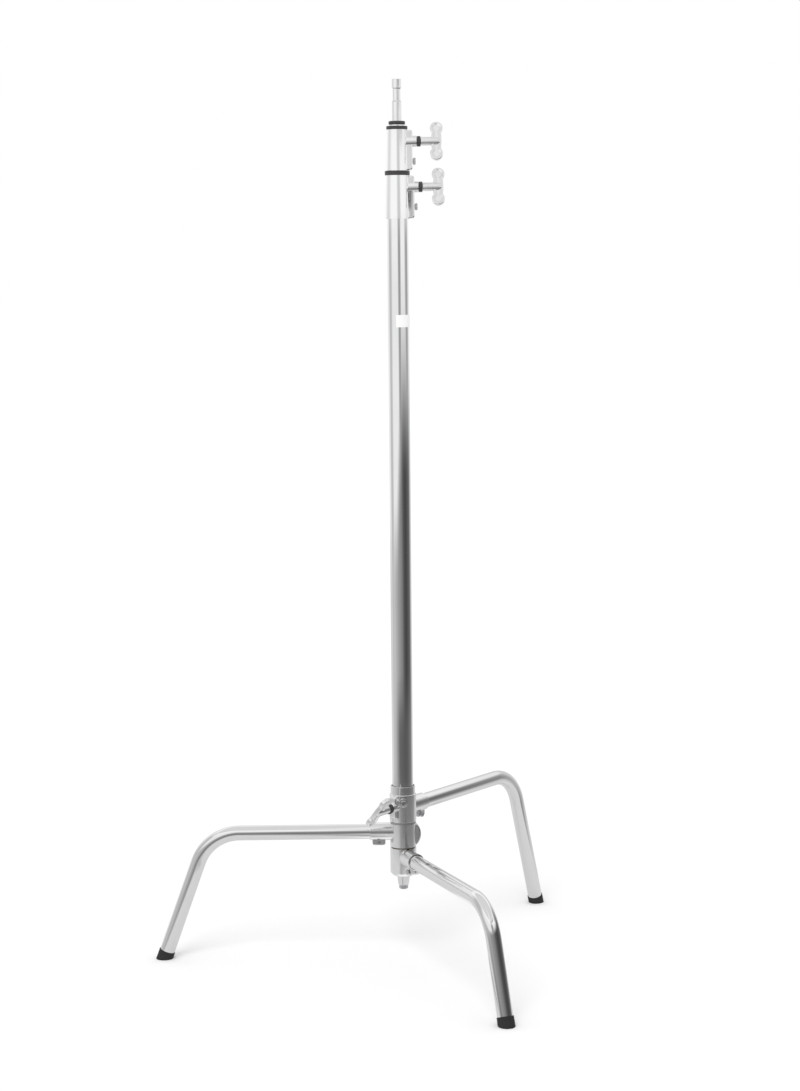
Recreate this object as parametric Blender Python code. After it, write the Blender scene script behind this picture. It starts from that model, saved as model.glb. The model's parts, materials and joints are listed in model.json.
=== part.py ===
"""Air-cushioned light stand: a chromed column of three telescoping tubes on three bent legs.

Metres, +Z up. The origin is the point on the floor under the column's axis. The knobs of the two
upper collars point along +X, and the middle leg points close to -X. Each riser rests, fully down,
on the collar below it, and a piston with a rubber seal under each riser makes the air cushion.
"""

import math

import bmesh
import bpy
from mathutils import Matrix, Vector

# Clearances
FIT = 0.0003                      # between pieces that fit into or rest on each other
RISER_CLEARANCE = 0.001           # between a riser and the tube that it slides in
PISTON_REST_GAP = 0.005           # air left under each piston with the riser fully down
MERGE = 0.000001                  # welds the seam of a turned shape

# Column and riser tubes
COLUMN_DIAMETER = 0.035
COLUMN_WALL = 0.0015
COLUMN_LENGTH = 1.0390
LOWER_RISER_WALL = 0.0015
UPPER_RISER_WALL = 0.0015

# Legs: 25 mm tube, bent once, all three feet on one circle
LEG_DIAMETER = 0.025
LEG_WALL = 0.002
FOOT_CIRCLE_RADIUS = 0.406
LEG_BEND_RADIUS = 0.074
BOTTOM_CORNER_RADIUS = 0.342
MIDDLE_CORNER_RADIUS = 0.328
SLIDING_CORNER_RADIUS = 0.326
BOTTOM_LEG_AZIMUTH = math.radians(-67.4)
MIDDLE_LEG_AZIMUTH = math.radians(180.7)
SLIDING_LEG_AZIMUTH = math.radians(53.2)

# Rubber feet
FOOT_WALL = 0.0008
FOOT_LENGTH = 0.0145
FOOT_SOLE = 0.010

# Hub brackets, stacked on the spindle
HUB_CLEARANCE_HEIGHT = 0.140
BOTTOM_BRACKET_SKIRT = 0.0088
BOTTOM_BRACKET_TAPER = 0.0055
BRACKET_RADIUS = 0.022
BRACKET_CHAMFER = 0.0015
SHAFT_DIAMETER = 0.024
SOCKET_WALL = 0.0020
SOCKET_REACH = 0.056
SOCKET_DEPTH = 0.0285
LUG_DROP = 0.0075
LUG_CLEARANCE = 0.0024
LUG_LENGTH = 0.022
LUG_WIDTH = 0.015
LUG_SETBACK = 0.004
SLIT_WIDTH = 0.002
STOP_FIN_REACH = 0.0300
STOP_FIN_WIDTH = 0.011
STOP_FIN_STEPS = 6
THRUST_WASHER_THICKNESS = 0.0012
THRUST_WASHER_RADIUS = 0.0205

# Spindle, spring and nut under the column
SPINDLE_PLUG_LENGTH = 0.045
SPINDLE_FLANGE_THICKNESS = 0.0025
SPINDLE_FLANGE_RADIUS = 0.0215
STUD_DIAMETER = 0.008
BRACKET_FLOOR = 0.006
CUP_HEIGHT = 0.0165
CUP_TOP_RADIUS = 0.0108
CUP_BOTTOM_RADIUS = 0.0088
CUP_FLOOR = 0.002
SPRING_WIRE = 0.0018
SPRING_TURNS = 3.5
NUT_WIDTH = 0.013
NUT_HEIGHT = 0.0065
CROSS_PIN_DIAMETER = 0.005
BRACKET_PIN_RISE = 0.0075
COLUMN_PIN_RISE = 0.030

# Sliding leg's collar and its split liner
SLIDING_COLLAR_HEIGHT = 0.0607
SLIDING_ARM_RISE = 0.0225
SLIDING_NECK_HEIGHT = 0.0140
SLIDING_NECK_WALL = 0.0015
SLIDING_BARREL_WALL = 0.0032
LINER_WALL = 0.001
LINER_SLIT = 0.003
SLIDING_KNOB_RISE = 0.0272
SLIDING_KNOB_ROLL = math.radians(-40.0)
SLIDING_RIB_HEIGHT = 0.040
DRAG_SCREW_AZIMUTH = math.radians(-88.0)
DRAG_SCREW_RISE = 0.0352
DRAG_BOSS_RADIUS = 0.0075
DRAG_BOSS_REACH = 0.003
DRAG_HEAD_DIAMETER = 0.010
DRAG_HEAD_HEIGHT = 0.0032
DRAG_HEAD_CHAMFER = 0.0015

# Collars on top of the column and of the lower riser
COLUMN_COLLAR_HEIGHT = 0.0702
RISER_COLLAR_HEIGHT = 0.0660
COLLAR_SEAT = 0.0355
RISER_COLLAR_SEAT = 0.0300
COLLAR_WALL = 0.0028
BUSH_WALL = 0.0017
BUSH_POCKET_WALL = 0.0015
BUSH_SLEEVE = 0.010
COLUMN_BUSH_FLANGE_HEIGHT = 0.007
RISER_BUSH_FLANGE_HEIGHT = 0.0053
COLUMN_BUSH_PROUD = 0.0016
RISER_BUSH_PROUD = 0.0010
COLUMN_KNOB_RISE = 0.0515
RISER_KNOB_RISE = 0.0470
COLUMN_BOLT_RISE = 0.0195
RISER_BOLT_RISE = 0.0150
COLUMN_KNOB_ROLL = math.radians(-20.0)
RISER_KNOB_ROLL = math.radians(-16.0)
RIB_REACH = 0.0075
RIB_WIDTH = 0.014
RIB_CHAMFER = 0.003
BOSS_RADIUS = 0.009
BOSS_REACH = 0.0065
BOSS_CHAMFER = 0.001
RIM_CHAMFER = 0.0006

# Wing knobs, their screws, washers and brake pads
KNOB_SCREW_DIAMETER = 0.008
KNOB_TRAVEL = 0.0025
PAD_DIAMETER = 0.009
PAD_LENGTH = 0.005
KNOB_WASHER_RADIUS = 0.0085
KNOB_WASHER_THICKNESS = 0.006
KNOB_HUB_RADIUS = 0.007
KNOB_HUB_LENGTH = 0.015
KNOB_NOSE_RADIUS = 0.0042
KNOB_NOSE_LENGTH = 0.007
KNOB_SCREW_SEAT = 0.012
WING_HALF_SPAN = 0.0215
WING_LOBE_RADIUS = 0.0105
WING_WAIST = 0.0085
WING_THICKNESS = 0.008
WING_BEVEL = 0.0018

# Bolts
BOLT_DIAMETER = 0.006
BOLT_HEAD_WIDTH = 0.010
BOLT_HEAD_HEIGHT = 0.0042
PINCH_BOLT_DIAMETER = 0.005
PINCH_BOLT_HEAD_WIDTH = 0.008
PINCH_BOLT_HEAD_HEIGHT = 0.0035

# Pistons of the air cushion
PISTON_HEIGHT = 0.012
PISTON_SEAL_HEIGHT = 0.004
PISTON_GROOVE_DEPTH = 0.0018
PISTON_BLEED_DIAMETER = 0.0016
PLUG_HEIGHT = 0.020
PISTON_SCREW_DIAMETER = 0.006
PISTON_SCREW_HEAD_DIAMETER = 0.010
PISTON_SCREW_HEAD_HEIGHT = 0.0035

# Mounting pin on top
PIN_DIAMETER = 0.016
PIN_NECK_DIAMETER = 0.0132
PIN_LENGTH = 0.0672
PIN_NECK_BOTTOM = 0.0325
PIN_NECK_TOP = 0.0515
PIN_CHAMFER = 0.001
PIN_SPIGOT_LENGTH = 0.034
PIN_RING_HEIGHT = 0.0056
PIN_RING_LEDGE = 0.001
RISER_TOP_PROUD = 0.0021
PIN_DOWEL_DROP = 0.014
PIN_DOWEL_DIAMETER = 0.004

# Blank label on the column
LABEL_DROP = 0.191
LABEL_HEIGHT = 0.020
LABEL_WIDTH = 0.035
LABEL_THICKNESS = 0.0004
LABEL_AZIMUTH = math.radians(-47.0)

# Facets: sides of round pieces, steps of bends, and the turn that keeps crossing edges apart
LARGE_SIDES = 28
MEDIUM_SIDES = 20
SMALL_SIDES = 14
SCREW_SIDES = 10
BEND_STEPS = 8
LOBE_STEPS = 9
SPRING_STEPS_PER_TURN = 10
TWIST = 0.37

# Sizes that follow
COLUMN_RADIUS = COLUMN_DIAMETER / 2
COLUMN_BORE_RADIUS = COLUMN_RADIUS - COLUMN_WALL
LOWER_RISER_RADIUS = COLUMN_BORE_RADIUS - RISER_CLEARANCE
LOWER_RISER_BORE_RADIUS = LOWER_RISER_RADIUS - LOWER_RISER_WALL
UPPER_RISER_RADIUS = LOWER_RISER_BORE_RADIUS - RISER_CLEARANCE
UPPER_RISER_BORE_RADIUS = UPPER_RISER_RADIUS - UPPER_RISER_WALL
LEG_RADIUS = LEG_DIAMETER / 2
SHAFT_RADIUS = SHAFT_DIAMETER / 2
SOCKET_BORE_RADIUS = LEG_RADIUS + FIT
SOCKET_RADIUS = SOCKET_BORE_RADIUS + SOCKET_WALL
FOOT_RADIUS = LEG_RADIUS + FIT + FOOT_WALL
ARM_RISE = LUG_CLEARANCE + LUG_DROP + SOCKET_RADIUS

# Heights that follow, from the floor up
BOTTOM_ARM_HEIGHT = HUB_CLEARANCE_HEIGHT + BOTTOM_BRACKET_SKIRT + ARM_RISE
BOTTOM_BRACKET_TOP = BOTTOM_ARM_HEIGHT + SOCKET_RADIUS + FIT
WASHER_BOTTOM = BOTTOM_BRACKET_TOP + FIT
MIDDLE_BRACKET_BOTTOM = WASHER_BOTTOM + THRUST_WASHER_THICKNESS + FIT
MIDDLE_ARM_HEIGHT = MIDDLE_BRACKET_BOTTOM + ARM_RISE
MIDDLE_BRACKET_TOP = MIDDLE_ARM_HEIGHT + SOCKET_RADIUS + FIT
FLANGE_BOTTOM = MIDDLE_BRACKET_TOP + FIT
FLANGE_TOP = FLANGE_BOTTOM + SPINDLE_FLANGE_THICKNESS
COLUMN_BOTTOM = FLANGE_TOP + FIT
COLUMN_TOP = COLUMN_BOTTOM + COLUMN_LENGTH
SPINDLE_TOP = COLUMN_BOTTOM + SPINDLE_PLUG_LENGTH
SLIDING_COLLAR_BOTTOM = FLANGE_TOP + FIT
SLIDING_ARM_HEIGHT = SLIDING_COLLAR_BOTTOM + SLIDING_ARM_RISE
LOWER_PISTON_BOTTOM = SPINDLE_TOP + PISTON_REST_GAP
LOWER_RISER_BOTTOM = LOWER_PISTON_BOTTOM + PISTON_HEIGHT + FIT
UPPER_PISTON_BOTTOM = LOWER_RISER_BOTTOM + PLUG_HEIGHT + PISTON_REST_GAP
UPPER_RISER_BOTTOM = UPPER_PISTON_BOTTOM + PISTON_HEIGHT + FIT
COLUMN_COLLAR_BOTTOM = COLUMN_TOP + FIT - COLLAR_SEAT
COLUMN_COLLAR_TOP = COLUMN_COLLAR_BOTTOM + COLUMN_COLLAR_HEIGHT
COLUMN_BUSH_TOP = COLUMN_COLLAR_TOP + FIT + COLUMN_BUSH_FLANGE_HEIGHT
RISER_COLLAR_BOTTOM = COLUMN_BUSH_TOP + FIT
RISER_COLLAR_TOP = RISER_COLLAR_BOTTOM + RISER_COLLAR_HEIGHT
LOWER_RISER_TOP = RISER_COLLAR_BOTTOM + RISER_COLLAR_SEAT - FIT
RISER_BUSH_TOP = RISER_COLLAR_TOP + FIT + RISER_BUSH_FLANGE_HEIGHT
UPPER_RISER_TOP = RISER_BUSH_TOP + RISER_TOP_PROUD
PIN_RING_BOTTOM = UPPER_RISER_TOP + FIT
PIN_RING_TOP = PIN_RING_BOTTOM + PIN_RING_HEIGHT
PIN_TOP = PIN_RING_TOP + PIN_LENGTH

# Finishes: base colour, roughness, metallic
FINISHES = {
    "chrome": ((0.80, 0.81, 0.82), 0.08, 1.0),
    "black_rubber": ((0.02, 0.02, 0.02), 0.75, 0.0),
    "black_nylon": ((0.03, 0.03, 0.03), 0.45, 0.0),
    "white_nylon": ((0.80, 0.79, 0.75), 0.50, 0.0),
    "bronze": ((0.62, 0.46, 0.24), 0.35, 1.0),
    "bright_steel": ((0.60, 0.60, 0.61), 0.30, 1.0),
    "blank_label": ((0.90, 0.90, 0.90), 0.50, 0.0),
}


def clear_scene():
    """Remove every object that the file was opened with."""
    for old in list(bpy.data.objects):
        bpy.data.objects.remove(old, do_unlink=True)


def finish_material(finish):
    """Make, or fetch, the material of one finish."""
    known = bpy.data.materials.get(finish)
    if known:
        return known
    colour, roughness, metallic = FINISHES[finish]
    material = bpy.data.materials.new(finish)
    material.use_nodes = True
    shader = material.node_tree.nodes["Principled BSDF"]
    shader.inputs["Base Color"].default_value = (*colour, 1.0)
    shader.inputs["Roughness"].default_value = roughness
    shader.inputs["Metallic"].default_value = metallic
    material.diffuse_color = (*colour, 1.0)
    return material


def make_axis(name, height=0.0, azimuth=0.0):
    """An empty on the column's axis, which carries the pieces of one moving body."""
    axis = bpy.data.objects.new(name, None)
    axis.location = (0.0, 0.0, height)
    axis.rotation_euler = (0.0, 0.0, azimuth)
    axis.empty_display_size = 0.05
    bpy.context.collection.objects.link(axis)
    return axis


def add_object(name, shape, finish, parent, place=None):
    """Turn a bmesh into an object under its parent, at a place given under that parent."""
    mesh = bpy.data.meshes.new(name)
    shape.to_mesh(mesh)
    shape.free()
    mesh.shade_smooth()
    mesh.set_sharp_from_angle(angle=math.radians(35.0))
    mesh.materials.append(finish_material(finish))
    piece = bpy.data.objects.new(name, mesh)
    bpy.context.collection.objects.link(piece)
    piece.parent = parent
    piece.matrix_basis = place if place is not None else Matrix.Identity(4)
    return piece


def add_tool(piece, operation, shape, place=None):
    """Join a helper shape to a piece, or cut it out, at a place given under the piece's parent."""
    tool_name = f"{piece.name}_tool_{len(piece.modifiers) + 1}"
    tool = add_object(tool_name, shape, "chrome", piece.parent, place)
    tool.hide_render = True
    tool.display_type = "WIRE"
    step = piece.modifiers.new(tool_name, "BOOLEAN")
    step.operation = operation
    step.solver = "EXACT"
    step.object = tool


def turned(profile, sides, ring=False, twist=0.0):
    """Spin (radius, height) points around Z; a ring's profile is a closed loop.

    The twist, a share of one facet, keeps the edges of crossing round shapes from meeting.
    """
    shape = bmesh.new()
    points = [shape.verts.new((radius, 0.0, height)) for radius, height in profile]
    pairs = list(zip(points, points[1:]))
    if ring:
        pairs.append((points[-1], points[0]))
    edges = [shape.edges.new(pair) for pair in pairs]
    bmesh.ops.spin(shape, geom=points + edges, cent=(0, 0, 0), axis=(0, 0, 1),
                   angle=math.tau, steps=sides, use_merge=True)
    bmesh.ops.remove_doubles(shape, verts=shape.verts, dist=MERGE)
    poles = [vert for vert in shape.verts if vert.co.xy.length < MERGE]
    bmesh.ops.dissolve_verts(shape, verts=poles)
    start = Matrix.Rotation(math.tau / sides * twist, 3, "Z")
    bmesh.ops.rotate(shape, cent=(0, 0, 0), matrix=start, verts=shape.verts)
    bmesh.ops.recalc_face_normals(shape, faces=shape.faces)
    return shape


def rod(radius, start, end, sides):
    """A solid round bar along Z."""
    return turned([(0, start), (radius, start), (radius, end), (0, end)], sides)


def bore(radius, start, end, sides):
    """A round cutter along Z."""
    return turned([(0, start), (radius, start), (radius, end), (0, end)], sides, twist=TWIST)


def pipe(outer, inner, start, end, sides, chamfer=0.0):
    """A plain tube along Z, with its outer rims chamfered if asked."""
    if chamfer <= 0.0:
        profile = [(inner, start), (outer, start), (outer, end), (inner, end)]
    else:
        profile = [(inner, start), (outer - chamfer, start), (outer, start + chamfer),
                   (outer, end - chamfer), (outer - chamfer, end), (inner, end)]
    return turned(profile, sides, ring=True)


def hexagon(width, start, end):
    """A hexagonal head or nut along Z, given by its width across flats."""
    return rod(width / 2 / math.cos(math.pi / 6), start, end, 6)


def block(low, high):
    """A box between two corners."""
    shape = bmesh.new()
    bmesh.ops.create_cube(shape, size=1.0)
    size = Vector(high) - Vector(low)
    middle = (Vector(high) + Vector(low)) / 2
    bmesh.ops.scale(shape, vec=size, verts=shape.verts)
    bmesh.ops.translate(shape, vec=middle, verts=shape.verts)
    return shape


def extruded(outline, width):
    """Extrude an outline of (x, z) points by a width, centred on the XZ plane."""
    shape = bmesh.new()
    face = shape.faces.new([shape.verts.new((x, -width / 2, z)) for x, z in outline])
    grown = bmesh.ops.extrude_face_region(shape, geom=[face])
    moved = [item for item in grown["geom"] if isinstance(item, bmesh.types.BMVert)]
    bmesh.ops.translate(shape, vec=(0, width, 0), verts=moved)
    bmesh.ops.recalc_face_normals(shape, faces=shape.faces)
    return shape


def outward(height, azimuth=0.0, roll=0.0):
    """A place at a height whose Z axis points outward from the column at an azimuth."""
    lift = Matrix.Translation((0.0, 0.0, height))
    turn = Matrix.Rotation(azimuth, 4, "Z")
    tip = Matrix.Rotation(math.pi / 2, 4, "Y")
    return lift @ turn @ tip @ Matrix.Rotation(roll, 4, "Z")


def arc(centre, radius, start, end, steps):
    """Points on an arc, from one angle to another, both ends included."""
    angles = [start + (end - start) * step / steps for step in range(steps + 1)]
    return [(centre[0] + radius * math.cos(a), centre[1] + radius * math.sin(a)) for a in angles]


def leg_route(corner_radius, arm_height):
    """A leg's centreline as (reach, height) points with their directions, hub to foot."""
    corner = Vector((corner_radius, arm_height))
    slope = Vector((FOOT_CIRCLE_RADIUS, 0.0)) - corner
    turn = math.atan2(-slope.y, slope.x)
    tangent = LEG_BEND_RADIUS * math.tan(turn / 2)
    centre = (corner_radius - tangent, arm_height - LEG_BEND_RADIUS)
    bend = arc(centre, LEG_BEND_RADIUS, math.pi / 2, math.pi / 2 - turn, BEND_STEPS)
    down = slope.normalized()
    route = [(Vector((SOCKET_DEPTH, arm_height)), Vector((1.0, 0.0)))]
    for step, point in enumerate(bend):
        angle = turn * step / BEND_STEPS
        route.append((Vector(point), Vector((math.cos(angle), -math.sin(angle)))))
    end = Vector((FOOT_CIRCLE_RADIUS, 0.0)) - down * FOOT_SOLE
    route.append((end, down))
    return route


def swept_tube(route, outer, inner, sides):
    """A hollow tube along a route of points and directions in the XZ plane."""
    shape = bmesh.new()
    skins = []
    for radius in (outer, inner):
        rings = []
        for point, direction in route:
            side = Vector((-direction.y, direction.x))
            ring = []
            for step in range(sides):
                angle = math.tau * step / sides
                reach = point + side * radius * math.cos(angle)
                ring.append(shape.verts.new((reach.x, radius * math.sin(angle), reach.y)))
            rings.append(ring)
        skins.append(rings)
    for rings in skins:
        for ring, following in zip(rings, rings[1:]):
            bridge_rings(shape, ring, following)
    for end in (0, -1):
        bridge_rings(shape, skins[0][end], skins[1][end])
    bmesh.ops.recalc_face_normals(shape, faces=shape.faces)
    return shape


def bridge_rings(shape, ring, other):
    """Fill the band between two rings of as many points."""
    count = len(ring)
    for step in range(count):
        after = (step + 1) % count
        shape.faces.new((ring[step], ring[after], other[after], other[step]))


def add_leg_tube(name, parent, corner_radius, arm_height):
    """One bent leg tube, under an axis that points along the leg."""
    drop = Vector((0.0, -parent.location.z))
    route = [(point + drop, direction) for point, direction in
             leg_route(corner_radius, arm_height)]
    shape = swept_tube(route, LEG_RADIUS, LEG_RADIUS - LEG_WALL, MEDIUM_SIDES)
    add_object(name, shape, "chrome", parent)


def add_leg_foot(name, parent, corner_radius, arm_height):
    """The rubber foot on a leg's end, in line with the tube and cut flat at the floor."""
    run = FOOT_CIRCLE_RADIUS - corner_radius
    lean = math.atan2(run, arm_height)
    stand = Matrix.Translation((FOOT_CIRCLE_RADIUS, 0.0, -parent.location.z))
    place = stand @ Matrix.Rotation(-lean, 4, "Y")
    below = FOOT_RADIUS * math.tan(lean) + FIT
    round_edge = FOOT_WALL / 2
    shape = turned([(0, -below), (FOOT_RADIUS, -below), (FOOT_RADIUS, FOOT_LENGTH - round_edge),
                    (FOOT_RADIUS - round_edge, FOOT_LENGTH), (0, FOOT_LENGTH)], MEDIUM_SIDES)
    floor_normal = Matrix.Rotation(lean, 3, "Y") @ Vector((0, 0, -1))
    cut = bmesh.ops.bisect_plane(shape, geom=shape.verts[:] + shape.edges[:] + shape.faces[:],
                                 plane_co=(0, 0, 0), plane_no=floor_normal, clear_outer=True)
    rim = [item for item in cut["geom_cut"] if isinstance(item, bmesh.types.BMEdge)]
    bmesh.ops.contextual_create(shape, geom=rim)
    bmesh.ops.recalc_face_normals(shape, faces=shape.faces)
    foot = add_object(name, shape, "black_rubber", parent, place)
    pocket = bore(LEG_RADIUS + FIT, FOOT_SOLE - FIT, FOOT_LENGTH * 2, MEDIUM_SIDES)
    add_tool(foot, "DIFFERENCE", pocket, place)


def lug_bolt_place(arm_height):
    """Where the pinch bolt sits under an arm: its axis runs across the leg."""
    reach = SOCKET_REACH - LUG_SETBACK - LUG_LENGTH / 2
    drop = SOCKET_RADIUS + LUG_DROP / 2
    across = Matrix.Rotation(math.pi / 2, 4, "X")
    return Matrix.Translation((reach, 0.0, arm_height - drop)) @ across


def add_arm(piece, arm_height, root_reach):
    """Add the leg socket with its pinch lug to a bracket, and cut the socket and the slit."""
    level = arm_height - piece.parent.location.z
    arm_place = outward(level)
    rim = SOCKET_REACH - BRACKET_CHAMFER
    socket = turned([(0, root_reach), (SOCKET_RADIUS, root_reach),
                     (SOCKET_RADIUS, rim), (SOCKET_RADIUS - BRACKET_CHAMFER / 2, SOCKET_REACH),
                     (0, SOCKET_REACH)], MEDIUM_SIDES, twist=TWIST)
    add_tool(piece, "UNION", socket, arm_place)
    lug_end = SOCKET_REACH - LUG_SETBACK
    lug_bottom = level - SOCKET_RADIUS - LUG_DROP
    corner = LUG_DROP / 2
    lug_outline = [(lug_end - LUG_LENGTH, level), (lug_end - LUG_LENGTH, lug_bottom + corner),
                   (lug_end - LUG_LENGTH + corner, lug_bottom), (lug_end - corner, lug_bottom),
                   (lug_end, lug_bottom + corner), (lug_end, level)]
    add_tool(piece, "UNION", extruded(lug_outline, LUG_WIDTH))
    socket_bore = bore(SOCKET_BORE_RADIUS, SOCKET_DEPTH - FIT, SOCKET_REACH * 2, MEDIUM_SIDES)
    add_tool(piece, "DIFFERENCE", socket_bore, arm_place)
    slit_start = lug_end - LUG_LENGTH - SLIT_WIDTH
    slit = block((slit_start, -SLIT_WIDTH / 2, lug_bottom - SLIT_WIDTH),
                 (SOCKET_REACH + SLIT_WIDTH, SLIT_WIDTH / 2, level))
    add_tool(piece, "DIFFERENCE", slit)
    hole = bore(PINCH_BOLT_DIAMETER / 2 + FIT, -LUG_WIDTH, LUG_WIDTH, SCREW_SIDES)
    add_tool(piece, "DIFFERENCE", hole, lug_bolt_place(level))


def add_pinch_bolt(name, parent, arm_height):
    """The bolt that closes a socket's slit on the leg tube."""
    place = lug_bolt_place(arm_height - parent.location.z)
    half = LUG_WIDTH / 2
    head = hexagon(PINCH_BOLT_HEAD_WIDTH, half + FIT, half + FIT + PINCH_BOLT_HEAD_HEIGHT)
    bolt = add_object(name, head, "bright_steel", parent, place)
    shank = bore(PINCH_BOLT_DIAMETER / 2, -half - SLIT_WIDTH, half + PINCH_BOLT_HEAD_HEIGHT / 2,
                 SCREW_SIDES)
    add_tool(bolt, "UNION", shank, place)


def barrel_profile(bottom, top, taper):
    """The solid round body of a bracket, with a taper below and a chamfered rim above."""
    rim = BRACKET_RADIUS - BRACKET_CHAMFER
    return [(0, bottom), (BRACKET_RADIUS - taper, bottom), (BRACKET_RADIUS, bottom + taper),
            (BRACKET_RADIUS, top - BRACKET_CHAMFER), (rim, top), (0, top)]


def fin_outline(low, high):
    """The stop fin behind a bracket: a round bulge from the barrel, between two heights."""
    half = (high - low) / 2
    bulge = STOP_FIN_REACH - BRACKET_RADIUS
    radius = (half * half + bulge * bulge) / (2 * bulge)
    sweep = math.asin(half / radius)
    centre = (radius - STOP_FIN_REACH, low + half)
    edge = arc(centre, radius, math.pi - sweep, math.pi + sweep, STOP_FIN_STEPS)
    return [(-SHAFT_RADIUS, high)] + edge + [(-SHAFT_RADIUS, low)]


def add_bottom_leg(base):
    """Bracket, tube, foot and bolts of the leg that is fixed to the spindle."""
    axis = make_axis("bottom_leg_axis", 0.0, BOTTOM_LEG_AZIMUTH)
    profile = barrel_profile(HUB_CLEARANCE_HEIGHT, BOTTOM_BRACKET_TOP, BOTTOM_BRACKET_TAPER)
    bracket = add_object("bottom_bracket", turned(profile, LARGE_SIDES), "chrome", axis)
    add_arm(bracket, BOTTOM_ARM_HEIGHT, SHAFT_RADIUS)
    floor = HUB_CLEARANCE_HEIGHT + BRACKET_FLOOR
    shaft_bore = bore(SHAFT_RADIUS + FIT, floor, BOTTOM_BRACKET_TOP * 2, LARGE_SIDES)
    add_tool(bracket, "DIFFERENCE", shaft_bore)
    stud_bore = bore(STUD_DIAMETER / 2 + FIT, 0.0, BOTTOM_BRACKET_TOP, SMALL_SIDES)
    add_tool(bracket, "DIFFERENCE", stud_bore)
    pin_place = outward(bracket_pin_height(), math.pi)
    pin_hole = bore(CROSS_PIN_DIAMETER / 2 + FIT, 0.0, BRACKET_RADIUS * 2, SCREW_SIDES)
    add_tool(bracket, "DIFFERENCE", pin_hole, pin_place)
    add_leg_tube("bottom_leg_tube", axis, BOTTOM_CORNER_RADIUS, BOTTOM_ARM_HEIGHT)
    add_leg_foot("bottom_leg_foot", axis, BOTTOM_CORNER_RADIUS, BOTTOM_ARM_HEIGHT)
    add_pinch_bolt("bottom_leg_bolt", axis, BOTTOM_ARM_HEIGHT)
    pin = rod(CROSS_PIN_DIAMETER / 2, SHAFT_RADIUS / 2 + FIT, BRACKET_RADIUS - FIT, SCREW_SIDES)
    add_object("bottom_bracket_pin", pin, "bright_steel", axis, pin_place)
    washer = pipe(THRUST_WASHER_RADIUS, SHAFT_RADIUS + FIT, WASHER_BOTTOM,
                  WASHER_BOTTOM + THRUST_WASHER_THICKNESS, LARGE_SIDES)
    add_object("thrust_washer", washer, "bronze", base)


def bracket_pin_height():
    """Height of the pin that holds the bottom bracket on the spindle."""
    return HUB_CLEARANCE_HEIGHT + BRACKET_FLOOR + BRACKET_PIN_RISE


def add_middle_leg():
    """Bracket with its stop fin, tube, foot and bolt of the leg that swings on the spindle."""
    axis = make_axis("middle_leg_axis", MIDDLE_BRACKET_BOTTOM, MIDDLE_LEG_AZIMUTH)
    height = MIDDLE_BRACKET_TOP - MIDDLE_BRACKET_BOTTOM
    profile = barrel_profile(0.0, height, BRACKET_CHAMFER)
    bracket = add_object("middle_bracket", turned(profile, LARGE_SIDES), "chrome", axis)
    outline = fin_outline(BRACKET_CHAMFER, height - BRACKET_CHAMFER)
    add_tool(bracket, "UNION", extruded(outline, STOP_FIN_WIDTH))
    add_arm(bracket, MIDDLE_ARM_HEIGHT, SHAFT_RADIUS)
    add_tool(bracket, "DIFFERENCE", bore(SHAFT_RADIUS + FIT, -height, height * 2, LARGE_SIDES))
    add_leg_tube("middle_leg_tube", axis, MIDDLE_CORNER_RADIUS, MIDDLE_ARM_HEIGHT)
    add_leg_foot("middle_leg_foot", axis, MIDDLE_CORNER_RADIUS, MIDDLE_ARM_HEIGHT)
    add_pinch_bolt("middle_leg_bolt", axis, MIDDLE_ARM_HEIGHT)


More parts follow.
